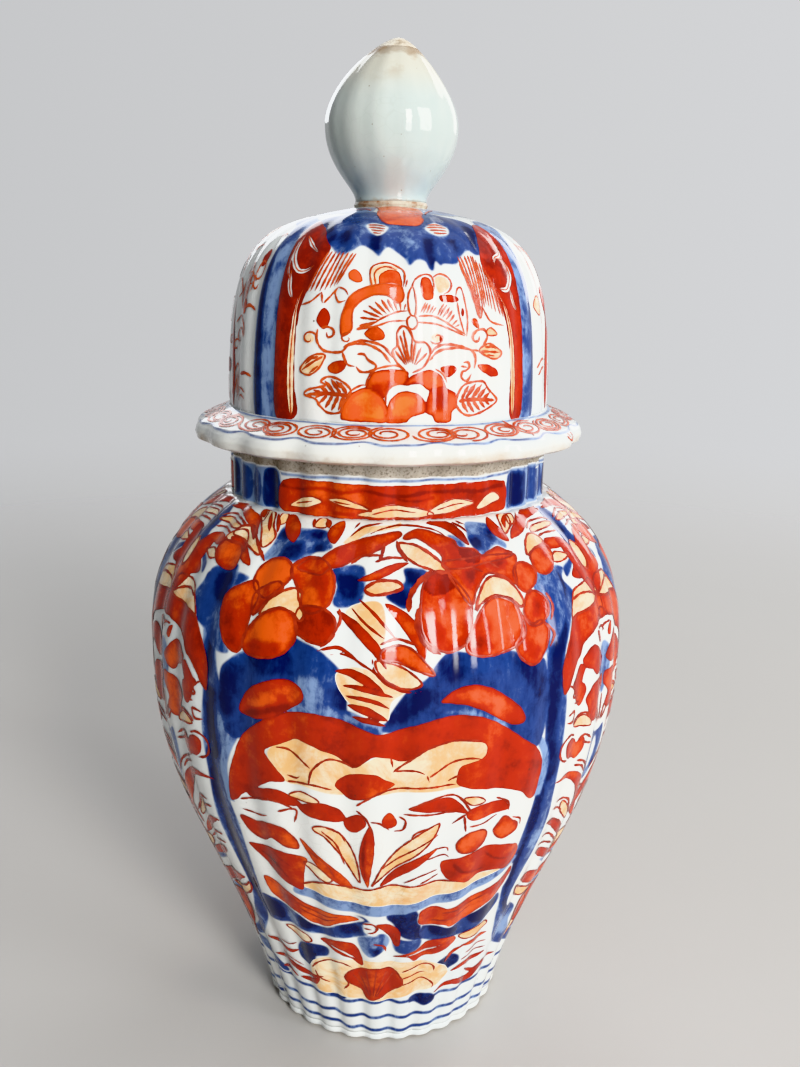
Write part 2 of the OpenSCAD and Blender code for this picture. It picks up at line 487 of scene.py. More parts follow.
# paint: slot, material, and in mm its height over the glaze, how far outside its outline it ends,
# and how much thicker it is in the middle
PAINTS = {"cobalt": ("cobalt_blue", cobalt_material(), 0.04, 0.42, 0.0),
          "cream": ("cream_wash", cream_material(), 0.075, 0.2, 0.0),
          "red": ("iron_red", red_material(), 0.12, 0.0, 0.03)}
INKS = {"line": line_material("outline_red", (0.22, 0.016, 0.008), (0.40, 0.045, 0.018)),
        "fine": line_material("fine_red", (0.36, 0.040, 0.012), (0.60, 0.12, 0.035))}
LINE_LIFT = 0.17        # mm over the glaze
TURN_LIFT = 0.003       # more with each turn, so that the copies never lie in one plane
porcelain = porcelain_material()
bare_clay = bare_clay_material()

# ---------------------------------------------------------------- painting


def path(points):
    """Points as an array, also from text such as "angle,s angle,s"."""
    if isinstance(points, str):
        points = [pair.split(",") for pair in points.split()]
    return np.array(points, float)


def number(text):
    """The number that text gives, or the tuple where commas part more than one."""
    values = tuple(float(value) for value in text.split(","))
    return values if len(values) > 1 else values[0]


def spline(points, closed, per_span=8):
    """A smooth curve through points; a point given twice makes a corner."""
    p = path(points)
    p = np.vstack([p[-1], p, p[:2]] if closed else [p[0], p, p[-1]])
    t = np.linspace(0, 1, per_span, endpoint=False)[:, None]
    spans = [0.5 * (2 * b + (c - a) * t + (2 * a - 5 * b + 4 * c - d) * t ** 2
                    + (3 * b - a - 3 * c + d) * t ** 3)
             for a, b, c, d in zip(p[:-3], p[1:-2], p[2:-1], p[3:])]
    if not closed:
        spans.append(p[-2:-1])
    return np.vstack(spans)


def wobble(angle, s, seed, size):
    """A slow wander, in mm, so that nothing looks drawn with a ruler."""
    return size * (np.sin(angle * 0.91 + s * 0.37 + seed * 2.1) + np.sin(angle * 0.43 - s * 0.71 + seed * 4.7)
                   + 0.6 * np.sin(angle * 1.9 + s * 1.3 + seed)) / 2.6


REACH = 2.5             # mm from an edge within which distances are worked out
TONE_REACH = 1.6        # mm from an edge to the full tone of the middle
RIBBON_STEP = 0.45      # mm between the points of a drawn line


class Layer:
    """Distance from the edge of one colour of paint, in mm and negative inside, on a grid."""

    def __init__(self, surface, angles, span, step, tone):
        self.surface = surface
        self.angle = np.arange(*angles, step / surface.per_degree(surface.length / 2))
        self.s = np.arange(span[0], span[1] + step / 2, step)
        self.edge = np.full((len(self.angle), len(self.s)), REACH)
        self.tone = np.full(self.edge.shape, float(tone))

    def distance(self, outline):
        """The grid window near a closed outline, and the distance from it there."""
        per_degree = self.surface.per_degree(outline[:, 1].mean())
        low, high = outline.min(0), outline.max(0)
        i0, i1 = np.searchsorted(self.angle, [low[0] - REACH / per_degree, high[0] + REACH / per_degree])
        j0, j1 = np.searchsorted(self.s, [low[1] - REACH, high[1] + REACH])
        x, y = np.broadcast_arrays((self.angle[i0:i1] * per_degree)[:, None], self.s[None, j0:j1])
        near = np.full(x.shape, 1e9)
        inside = np.zeros(x.shape, bool)
        p = outline * [per_degree, 1]
        for (ax, ay), (bx, by) in zip(p, np.roll(p, -1, axis=0)):
            dx, dy = bx - ax, by - ay
            size = dx * dx + dy * dy
            if size < 1e-12:
                continue
            t = np.clip(((x - ax) * dx + (y - ay) * dy) / size, 0, 1)
            near = np.minimum(near, (x - ax - t * dx) ** 2 + (y - ay - t * dy) ** 2)
            if dy:
                inside ^= ((ay > y) != (by > y)) & (x < ax + (y - ay) * dx / dy)
        d = np.clip(np.where(inside, -1, 1) * np.sqrt(near), -REACH, REACH)
        return (slice(i0, i1), slice(j0, j1)), d

    def fill(self, outline, tone=None):
        window, d = self.distance(outline)
        self.edge[window] = np.minimum(self.edge[window], d)
        if isinstance(tone, tuple):     # from the tone at the edge to the tone in the middle
            share = np.clip(-d / TONE_REACH, 0, 1) ** 0.6
            self.tone[window] = np.where(d < 0.2, tone[0] + (tone[1] - tone[0]) * share, self.tone[window])
        elif tone is not None:
            self.shade(outline, tone, 0.5)

    def cut(self, outline):
        window, d = self.distance(outline)
        self.edge[window] = np.maximum(self.edge[window], -d)

    def shade(self, outline, tone, soft=1.2):
        window, d = self.distance(outline)
        share = np.clip(0.5 - d / (2 * soft), 0, 1)
        share = share * share * (3 - 2 * share)
        self.tone[window] += (tone - self.tone[window]) * share

    def sheet(self, name, lift, level, thickness, warp, turn):
        """The painted area as a thin sheet that follows the surface, with its edge and tone."""
        a, s = np.meshgrid(self.angle, self.s, indexing="ij")
        f = self.edge + wobble(a * 2.3, s * 2.3, 7, 0.1) - level
        rows, cols = f.shape
        ids = np.arange(rows * cols).reshape(rows, cols)
        inside = f < 0
        corner = [ids[:-1, :-1], ids[1:, :-1], ids[1:, 1:], ids[:-1, 1:]]
        count = rows * cols
        across = count + ids            # edge from (i, j) to (i + 1, j)
        upward = 2 * count + ids        # edge from (i, j) to (i, j + 1)
        side = [across[:-1, :-1], upward[1:, :-1], across[:-1, 1:], upward[:-1, :-1]]
        kind = sum(inside.ravel()[c] * (1 << k) for k, c in enumerate(corner))
        faces = []
        for case in range(1, 16):       # marching squares: which of the four corners are inside
            at = kind == case
            if not at.any():
                continue
            loop = []
            for k in range(4):
                here, after = case >> k & 1, case >> (k + 1) % 4 & 1
                if here:
                    loop.append(corner[k][at])
                if here != after:
                    loop.append(side[k][at])
            for k in range(1, len(loop) - 1):
                faces.append(np.stack([loop[0], loop[k], loop[k + 1]], -1))
        if not faces:
            return None
        faces = np.vstack(faces)
        used, faces = np.unique(faces, return_inverse=True)
        faces = faces.reshape(-1, 3)
        base = used % count
        i, j = base // cols, base % cols
        step_i, step_j = (used // count == 1).astype(int), (used // count == 2).astype(int)
        i2, j2 = np.minimum(i + step_i, rows - 1), np.minimum(j + step_j, cols - 1)
        f0, f1 = f[i, j], f[i2, j2]
        t = np.where(used < count, 0, f0 / np.where(np.abs(f0 - f1) < 1e-9, 1, f0 - f1))

        def between(values):
            return values[i, j] + (values[i2, j2] - values[i, j]) * t
        angle, along, edge = between(a), between(s), between(self.edge)
        per_degree = self.surface.per_degree(along)
        rise = lift + thickness * np.clip((level - edge) / 0.5, 0, 1)
        at = self.surface.points(angle + turn + warp(angle, along) / per_degree, along, rise)
        return mesh_object(name, at, faces, {"edge": edge, "tone": between(self.tone)})


class Picture:
    """Everything painted on one stretch of a surface: washes and fills on grids, and drawn lines."""

    def __init__(self, surface, angles, span, step=0.5, pen=1.0, ink="line"):
        self.surface = surface
        self.pen = pen          # scales the widths of the drawn lines
        self.ink = ink
        self.layers = {paint: Layer(surface, angles, span, step, tone)
                       for paint, tone in (("cobalt", 0.4), ("cream", 0.5), ("red", 0.45))}
        self.strokes = []
        self.mirror = None      # angle of the line that everything is mirrored in

    def paint(self, text):
        """Does the jobs in text, which semicolons part. A job says what to do, with which paint and how,
        and after a colon the paths to do it on, parted by slashes. A bare number before a path is its
        width, and that of the next ones: "brush red tone=0.6: 2 8,33 12,35 / 0.8 9,36 14,38" paints a
        broad stroke and a fine one."""
        jobs = {"fill": self.fill, "cut": self.cut, "inlay": self.inlay, "shade": self.shade,
                "brush": self.brush, "wipe": self.wipe, "line": self.line, "spiral": self.spiral}
        for job in text.split(";"):
            how, paths = job.split(":")
            what, *words = how.split()
            paint = [word for word in words if "=" not in word]
            options = dict(word.split("=") for word in words if "=" in word)
            options = {key: number(value) for key, value in options.items()}
            paths = paths.split("/")
            if what == "hatch":
                self.hatch(*paths, **options)
                continue
            for points in paths:
                first, rest = points.split(maxsplit=1)
                if "," not in first:
                    options["width"], points = float(first), rest
                jobs[what](*paint, points, **options)

    def curve(self, points, closed):
        p = spline(points, closed)
        return p if self.mirror is None else np.stack([2 * self.mirror - p[:, 0], p[:, 1]], -1)

    def lay(self, paint, outline, tone, edge):
        self.layers[paint].fill(outline, tone)
        if edge:
            self.strokes.append((np.vstack([outline, outline[:1]]), edge, False))

    def fill(self, paint, points, tone=None, edge=0.0):
        """Paints the smooth closed outline through points, with a drawn edge of that width if asked."""
        self.lay(paint, self.curve(points, True), tone, edge)

    def cut(self, paint, points):
        self.layers[paint].cut(self.curve(points, True))

    def inlay(self, paint, points, edge):
        """A place left open in the red, and filled with another paint."""
        self.cut("red", points)
        self.fill(paint, points, edge=edge)

    def shade(self, paint, points, tone, soft=1.2):
        self.layers[paint].shade(self.curve(points, True), tone, soft)

    def blade(self, points, width, belly):
        """The outline of one brush stroke: pointed at both ends and widest at belly (0 to 1), which is
        its share of the way along, or as wide all along where belly is 0."""
        middle = self.curve(points, False)
        scale = [self.surface.per_degree(middle[:, 1].mean()), 1]
        p = middle * scale
        far = lengths(p)
        t = far / far[-1]
        share = np.sin(np.pi * t ** (math.log(0.5) / math.log(belly))) ** 0.7 if belly else 1 + 0 * t
        off = sideways(p) * np.maximum(width / 2 * share, 0.05)[:, None]
        return np.vstack([p + off, (p - off)[::-1]]) / scale

    def brush(self, paint, points, width, tone=None, belly=0.5, edge=0.0):
        self.lay(paint, self.blade(points, width, belly), tone, edge)

    def wipe(self, paint, points, width, belly=0.5):
        """A brush stroke that takes paint away."""
        self.layers[paint].cut(self.blade(points, width, belly))

    def line(self, points, width):
        self.strokes.append((self.curve(points, False), width, True))

    def hatch(self, start, end, count, width=0.45):
        """Lines from places along one path to places along another."""
        p, q = spline(start, False), spline(end, False)
        for t in np.linspace(0, 1, int(count)):
            a, b = ([np.interp(t * (len(c) - 1), np.arange(len(c)), c[:, k]) for k in (0, 1)]
                    for c in (p, q))
            self.line([a, [(a[0] + b[0]) / 2, (a[1] + b[1]) / 2], b], width)

    def spiral(self, points, turns, width=0.5, start=0.0, drift=0.0):
        """A drawn spiral that winds inwards. Its points are its middle, which drifts aside, and its
        half-size."""
        (angle, s), (wide, high) = path(points)
        t = np.linspace(0, 1, int(14 * turns) + 2)
        a = start + 2 * np.pi * turns * t
        size = 1 - 0.8 * t ** 1.25
        p = [angle + drift * t + wide * size * np.cos(a), s + high * size * np.sin(a)]
        self.line(np.stack(p, -1), width)

    def ribbons(self, name, lift, warp, turn):
        """The drawn lines as thin raised strips, each with a ridge along its middle."""
        verts, faces, count = [], [], 0
        for k, (stroke, width, taper) in enumerate(self.strokes):
            scale = [float(self.surface.per_degree(stroke[:, 1]).mean()), 1]
            p = stroke * scale
            keep = np.concatenate([[True], np.hypot(*np.diff(p, axis=0).T) > 1e-6])
            p = p[keep]
            if len(p) < 2:
                continue
            far = lengths(p)
            steps = max(3, int(far[-1] / RIBBON_STEP) + 1)
            at = np.linspace(0, far[-1], steps)
            p = np.stack([np.interp(at, far, p[:, 0]), np.interp(at, far, p[:, 1])], -1)
            t = at / far[-1]
            half = self.pen * width / 2 * (1 + 0.18 * np.sin(at * 1.7 + k) + 0.1 * np.sin(at * 4.1 + 2 * k))
            if taper:
                half = half * np.clip(np.minimum(t * 9, (1 - t) * 4) * far[-1] / 8 + 0.25, 0, 1)
            off = sideways(p) * half[:, None]
            for shift, rise in ((-1, -0.02), (0, 0.015), (1, -0.02)):
                angle, s = ((p + shift * off) / scale).T
                angle = angle + turn + warp(angle, s) / self.surface.per_degree(s)
                s = np.clip(s, 0, self.surface.length)
                verts.append(self.surface.points(angle, s, np.full(steps, lift + rise + 0.0006 * (k % 60))))
            n = np.arange(steps - 1)
            for row in (0, 1):
                a = count + row * steps + n
                faces.append(np.stack([a + steps, a + steps + 1, a + 1, a], -1))
            count += 3 * steps
        return mesh_object(name, np.vstack(verts), np.vstack(faces))

    def build(self, name, body, turns=(0,), wander=0.35):
        """Makes the pieces, once for each turn round the pot; the copies wander, so that no two are
        the same."""
        under = np.clip(-self.layers["cobalt"].edge / 1.2, 0, 1)
        self.layers["red"].tone += 0.2 * under      # red looks browner over blue
        for k, turn in enumerate(turns):
            end = f"_{k + 1}" if len(turns) > 1 else ""
            more = TURN_LIFT * k

            def warp(angle, s, seed=k):
                return wobble(angle * 0.25, s * 0.25, seed, wander) if seed else 0 * angle
            for paint, (slot, material, lift, level, thick) in PAINTS.items():
                sheet = self.layers[paint].sheet(f"{name}_{paint}{end}", lift + more, level, thick,
                                                 warp, turn)
                if sheet:
                    add_piece(sheet, body, slot, material)
            if self.strokes:
                add_piece(self.ribbons(f"{name}_lines{end}", LINE_LIFT + more, warp, turn), body,
                          "outline_red", INKS[self.ink])


# ---------------------------------------------------------------- the pot itself


def make_jar_body():
    inside = inset(JAR_OUTLINE, WALL)[::-1]
    inside = inside[(inside[:, 1] > FLOOR_Z + 3) & (inside[:, 1] < SHOULDER_Z - 3)][::3]
    low = inside[-1, 0]
    under = FLOOR_Z - FLOOR_T
    inner = [(MOUTH_R, SHOULDER_Z), *inside, (low - 1.2, FLOOR_Z + 1.0), (low - 4, FLOOR_Z),
             (low / 2, FLOOR_Z), (POLE, FLOOR_Z), (POLE, under), (29.5, under), (32.0, under - 1.5),
             (FOOT_BORE, FOOT_TOP)]
    thing = shell("jar_body_glaze", jar, np.linspace(FOOT_TOP, jar.length, 190), AROUND, inner)
    add_piece(thing, "jar", "porcelain_glaze", porcelain, "jar_body")


def make_foot():
    angles = full_turn(AROUND)
    rings = jar.rings(angles, (FOOT_TOP, 2.2, 1.4))
    rings += [ring(jar.radius_at(angles, 0.0) - pull, z, angles)
              for z, pull in ((1.0, 0.25), (0.6, 0.7), (0.2, 1.5), (0.0, 2.4), (0.0, 3.6))]
    rings += [ring(FOOT_BORE + wider, z, angles)
              for wider, z in ((0.8, 0.0), (0.2, 0.3), (0, 1.0), (0, FOOT_TOP))]
    faces = ring_faces(len(rings), AROUND, closed=True)[:, ::-1]
    thing = mesh_object("foot_ring_clay", np.vstack(rings), faces)
    n = Nodes("foot_edge")
    share = n.ramp(n.ragged(n.height(), 0.0004, n.noise(120.0)), 0.0006, 0.0009)
    clay = n.mix(n.ramp(n.noise(300.0), 0.4, 0.7), (0.52, 0.46, 0.36), (0.30, 0.22, 0.15))
    rough = n.ramp(share, 0.0, 1.0, 0.85, 0.12)
    material = n.finish(n.mix(share, clay, porcelain_color(n)), rough, n.bump(n.noise(600.0), 0.3))
    add_piece(thing, "jar", "bare_clay", material, "foot_ring")


def make_neck():
    rows = np.linspace(0, neck.length - 0.8, 34)
    inner = [(NECK_R - 1.1, RIM_Z - 0.15), (NECK_R - 1.8, RIM_Z), (MOUTH_R + 1.0, RIM_Z),
             (MOUTH_R + 0.3, RIM_Z - 0.3), (MOUTH_R, RIM_Z - 1.0), (MOUTH_R, SHOULDER_Z)]
    thing = shell("neck_ring_glaze", neck, rows, AROUND, inner)
    n = Nodes("neck_glaze")
    line = n.ragged(n.height(), 0.0009, n.noise(70.0, 5.0, 0.65))
    bare = n.ramp(line, (RIM_Z - 4.9) * MM, (RIM_Z - 4.1) * MM)
    clay = n.mix(n.ramp(n.noise(160.0), 0.3, 0.7), (0.42, 0.385, 0.33), (0.30, 0.265, 0.215))
    grit = n.ramp(n.noise(1500.0, 4.0, 0.6), 0.5, 0.66, 0.0, 0.75)
    clay = n.mix(grit, clay, (0.12, 0.09, 0.065))
    rust = n.ramp(n.noise(26.0, 3.0), 0.58, 0.68, 0.0, 0.8)
    clay = n.mix(rust, clay, (0.20, 0.09, 0.04))
    # painted shade: the clay darkens towards the rim, where the lid's flange shades the neck
    top = n.ramp(line, (RIM_Z - 1.6) * MM, RIM_Z * MM, 0.0, 0.6)
    clay = n.mix(top, clay, (0.16, 0.12, 0.08))
    rough = n.ramp(bare, 0.0, 1.0, 0.12, 0.9)
    height = n.times(n.noise(800.0, 3.0), bare)
    material = n.finish(n.mix(bare, porcelain_color(n), clay), rough, n.bump(height, 0.8, 0.0004))
    add_piece(thing, "jar", "porcelain_glaze", material, "neck_ring")


def make_dome():
    rows = np.linspace(0, dome.length, 110)
    inside = inset(DOME_OUTLINE, DOME_WALL)[::-1]
    inside = inside[(inside[:, 1] > FLANGE_TOP + 1) & (inside[:, 0] > STEM_R + 3)][::3]
    inner = [(POLE, STEM_Z), (POLE, STEM_Z - DOME_WALL), (STEM_R, STEM_Z - DOME_WALL), *inside,
             (DOME_R - DOME_WALL, FLANGE_TOP)]
    thing = shell("lid_dome_glaze", dome, rows, AROUND, inner)
    add_piece(thing, "lid", "porcelain_glaze", porcelain, "lid_dome")


def make_flange():
    rows = np.linspace(0, flange.length, 46)
    inner = [(DOME_R - DOME_WALL, FLANGE_TOP), (COLLAR_BORE, LID_Z + 4.8), (COLLAR_BORE, LID_Z),
             (50.0, LID_Z)]
    thing = shell("lid_flange_glaze", flange, rows, SCALLOPS * 20, inner)
    n = Nodes("flange_glaze")
    z = n.height()
    edge = n.ragged(z, 0.0014, n.noise(90.0, 5.0, 0.65))
    low = n.ramp(edge, (LID_Z - 0.4) * MM, (LID_Z + 3.2) * MM, 1.0, 0.0)
    dirt = n.times(low, n.ramp(n.noise(30.0, 4.0, 0.6), 0.42, 0.66, 0.12, 0.9))
    dull = n.times(n.ramp(z, (LID_Z + 5) * MM, (LID_Z + 2) * MM), 0.35)
    color = n.mix(dull, porcelain_color(n), (0.72, 0.70, 0.62))
    color = n.mix(dirt, color, (0.36, 0.25, 0.15))
    chip = n.ramp(n.noise(75.0, 2.0), 0.70, 0.72)
    color = n.mix(n.times(chip, low), color, (0.30, 0.24, 0.18))
    material = n.finish(color, n.ramp(dirt, 0.0, 1.0, 0.1, 0.5), glaze_bump(n))
    add_piece(thing, "lid", "porcelain_glaze", material, "lid_flange")


def bud_material():
    """The bud's thick glaze: blue-green where it runs down, greyish cream above, a brown ring at the tip."""
    n = Nodes("bud_glaze")
    z = n.height()
    low, high = BUD_BASE * MM, TIP_BASE * MM
    streak = n.noise(60.0, 4.0, 0.6, stretch=(1.0, 1.0, 0.2))
    color = n.mix(n.ramp(streak, 0.3, 0.7), (0.53, 0.57, 0.54), (0.43, 0.49, 0.475))
    color = n.mix(n.ramp(z, low, low + 0.016, 0.7, 0.0), color, (0.41, 0.49, 0.50))
    color = n.mix(n.ramp(z, high - 0.016, high - 0.004, 0.0, 0.7), color, (0.52, 0.49, 0.40))
    ragged = n.ragged(z, 0.0007, n.noise(240.0, 4.0, 0.6))
    brown = n.times(n.ramp(ragged, high - 0.0034, high - 0.0016), n.ramp(n.noise(90.0), 0.3, 0.6, 0.5, 1.0))
    color = n.mix(brown, color, (0.26, 0.17, 0.09))
    color = n.mix(n.ramp(ragged, low + 0.001, low, 0.0, 0.5), color, (0.34, 0.28, 0.19))
    smudge = n.times(n.ramp(n.noise(95.0, 5.0, 0.6), 0.56, 0.7),
                     n.ramp(z, high - 0.012, high - 0.004, 0.0, 0.6))
    color = n.mix(smudge, color, (0.34, 0.24, 0.14))
    color = n.mix(n.times(crackle(n), 0.1), color, (0.30, 0.28, 0.25))
    color = n.mix(n.dots(230.0, 0.05), color, (0.25, 0.2, 0.15))
    return n.finish(color, n.ramp(brown, 0.0, 1.0, 0.07, 0.45), glaze_bump(n, 0.3))


def tip_material():
    """The restored point: off-white filler, grubby in its dips."""
    n = Nodes("tip_filler")
    grubby = n.ramp(n.noise(330.0, 5.0, 0.7), 0.42, 0.7)
    color = n.mix(grubby, (0.70, 0.66, 0.57), (0.36, 0.29, 0.20))
    return n.finish(color, 0.6, n.bump(n.noise(420.0, 4.0), 0.7, 0.0005))


def seam_material():
    """Rust-brown staining in a ring of old glue and grit."""
    n = Nodes("seam_stain")
    rust = n.ramp(n.noise(200.0, 5.0, 0.65), 0.42, 0.68)
    color = n.mix(rust, (0.48, 0.45, 0.37), (0.25, 0.10, 0.035))
    return n.finish(color, n.ramp(rust, 0.0, 1.0, 0.4, 0.8), n.bump(n.noise(700.0, 3.0), 0.6, 0.0003))


def make_finial():
    """The bud and its tip, one leaning shape cut in two."""
    outline = joined(
        bezier((STEM_R, BUD_BASE), (STEM_R - 0.7, BUD_BASE + 3.8), (BUD_R, BUD_BASE + 9.1),
               (BUD_R, BUD_BASE + 20.6)),
        bezier((BUD_R, BUD_BASE + 20.6), (BUD_R, BUD_BASE + 31.3), (4.5, TIP_TOP), (0.05, TIP_TOP)))
    bud = Surface(outline, 0, BUD_RIBS, first=3.0)
    bud.depth = lambda s: 0.2 * np.sin(np.pi * np.clip(s / bud.length, 0, 1))
    split = float(np.interp(TIP_BASE, outline[:, 1], bud.arc))
    angles = full_turn(12 * BUD_RIBS)
    for name, rows, node, slot, material in (
            ("finial_bud_glaze", np.linspace(0, split, 80), "finial_bud", "porcelain_glaze",
             bud_material()),
            ("finial_tip_glaze", np.linspace(split, bud.length, 16), "finial_tip", "bare_clay",
             tip_material())):
        rings = bud.rings(angles, rows)
        rings = [ring(POLE, rings[0][0, 2], angles)] + rings + [ring(POLE, rings[-1][0, 2], angles)]
        at = np.vstack(rings)
        at[:, 0] += 1.6 * np.clip((at[:, 2] - TIP_BASE + 12) / 15, 0, 1) ** 2
        add_piece(mesh_object(name, at, ring_faces(len(rings), len(angles))), "lid", slot, material, node)


for make in (make_jar_body, make_foot, make_neck, make_dome, make_flange, make_finial):
    make()
for node, material in (("lid_collar", bare_clay), ("finial_seam", seam_material())):
    dress(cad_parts[node], material)

# ---------------------------------------------------------------- what is painted on the jar

TURNS = (0, 120, 240)       # a main panel and a narrow one, three times round
FINE_GRID = 0.42            # mm


def paint_bands(p):
    """Cobalt: the rings round the foot and the bands on both sides of a panel, which flare out below."""
    p.paint("""
    brush cobalt tone=0.45 belly=0: 1.5 -60,6.4 -50,7 -40,7 -31,6 -23,6.9 -14,5.5 -9,6 -5,5.2 5,5.3 10,4.8
      20,5.7 25,5.3 30,6.5 38,6 43,7 52,6.2 60,5.6 66,6.4 / -60,12 -42,12 -30,11 -21,12 -17,10.7 -8,11.5
      -4,11 4,11.5 11,10.9 17,11.6 24,10.9 30,11.8 38,11 44,12.3 54,11.4 66,12 / -60,19.5 -42,20 -28,19
      -20,18.3 -15,17.8 -8,18.5 -3,18.3 3,19.2 8,18.4 12,18.5 28,19 35,18.5 45,20 55,19.4 66,19.5;
    fill cobalt: 37.5,166 37.5,150 37,135 37.5,118 37.5,100 37,85 37.5,72 38,64 39.5,56 40.5,50 42,44 44,38
      48,33 55,29 62,26 70,22.5 76,20.5 78,22 74,26 68,29.5 62,31.5 57,34.5 54,38 52,42 52,47 49,50.5 45,52
      43,56 42.5,62 43,70 44,78 44.3,90 43.3,100 43,110 43,120 43,130 41.8,136 42.5,143 45,149 48,154 50,158
      48,162 50,165 46,166.5 41,165.5 / -37,166 -38,150 -37,140 -35,131 -34,120 -36,112 -36.5,100 -35.5,90
      -36,75 -37.5,62 -39.5,53 -42,46 -46,39 -51,33.5 -57,31 -58,33.5 -54,37 -50,42 -47,48 -44,56 -43,64
      -43.5,78 -44,90 -43,105 -43,120 -42,135 -43,150 -44,158 -46,164 -42,166.5;
    shade cobalt tone=0.95: 37,133 40.5,132 40.5,120 42,108 40,103 40.5,90 39.5,78 40,70 41,60 44,53 48,50
      46,48.5 42,52 39,60 38,70 38,84 37.5,100 38,118 / 38,134 41,134 41.5,142 44,149 43,153 40,150 38,142 /
      41,164 46,164.5 48,161 46,157 43,156.5 41,160 / -41,132 -36,131 -35,122 -37,113 -41,113 / -42.5,112
      -40,112 -39,96 -38,80 -39,64 -41,54 -42.5,62 -42,80 -43,96 / -43,160 -39,163 -38,152 -39,138 -41,136
      -41,150;
    shade cobalt tone=0.15 soft=2: -37,130 -34,128 -35,112 -37,110;
    shade cobalt tone=0.12 soft=2: 44,46 48,46 52,40 56,36 52,35 47,38 / 42.5,96 43.5,80 42.5,68 41.5,72
      42,88""")
    # thin wash round the heart-shaped frame
    p.paint("""
    brush cobalt tone=0.1 belly=0: 2.6 -36,99 -36.3,110 -34,118 -31,123.5 -26,128.5 -21,132.3 -15,133.8
      -8,132.5 -3,130.5 0,129 6,131.5 12,133.4 19,133.4 25,131 31,125 36,119.5 38.5,113 38,101""")


def paint_panel_foot(p):
    """The lowest part of a main panel: a red lozenge on a cream ground, among leaves."""
    p.paint("""
    fill cobalt tone=0.75: -24,23 -18,23 -14,21.5 -14,19 -18,17.7 -23,20 / 12,20 15,21 20,21 23,19 23,16.5
      19,15 14.5,17 12,17.5 / 18,30 21,32 21,36 25,37.5 29,36.5 30,33 27,30 26,27 23,26 21,28.5 / -31,33
      -28,31 -24,33 -23,37 -19,38 -18,42 -23,43.5 -28,42 -31,38;
    shade cobalt tone=1: 21,36.5 24,36.5 25,34 23,33 / 23,29 26,29 25.5,26.5 23,26.5 / -29,40 -24,41.5 -24,37
      -28,35;
    fill cream: -26,20.5 -14,20 0,19.3 13,22 22,24 27,28 24,33 16,37.5 6,38.5 -6,39 -15,38 -23,36 -27,30;
    fill red edge=0.5: -13,29.5 -11,33 -6,34.8 0,35.4 4,35.3 7,32 8.5,27.5 5,24.5 1,21.5 -2,20 -5,20.2 -7,24
      -11,27;
    hatch count=6 width=0.4: -10,31.5 -6,33.6 0,34.3 5,33 / -4,21.5 -3,21 -1.5,21.5;
    line: 0.5 8,33.5 12,35 17,36 19.5,34.5 20,32 / 8,26.8 12,28 16,29 19,27.5 21,25 20.5,23.5 / -26,31 -22,35
      -14,37 -10,35 / -20,25 -24,27 -25,30 / -14,24 -12,26.5 -12.5,29 / 8,30 13,31.5 17,32;
    brush red: 3 22,20.5 30,23 38,21 43,25 48,26.5 53,26 / 2.4 28,28.5 33,31 38,31 43,32.5 / 1.6 35,27
      40,24.5 45,28 / 2.4 29,41 34,41.5 40,42.5 / 1.6 24,34 26,38 30,41 / 2.2 -47,35.5 -40,36 -35,35 -31,36.5
      / 2.8 -46,28 -38,29 -30,26 -22,27.5 / 2.6 -34,23 -28,23 -24,26 / 1.8 -44,23 -39,24.5 -35,22.5;
    line: 0.4 31,33.5 36,35 42,35 / 32,36.5 37,38 41,38.2 / -40,32 -35,31 -31,29 / -38,39 -34,38.5 -31,40;
    fill red: -20,46.5 -15,42 -10,39.5 -8,37 -6,36.3 -6,40 -8,46 -12,48 / 4,41 9,41 12,38.5 15,40 20,41 25,43
      26,46 22,48 16,47.5 12,44;
    wipe red: 0.7 -17,45 -12,42.5 -8,39 / 8,41.5 14,42.5 21,45""")


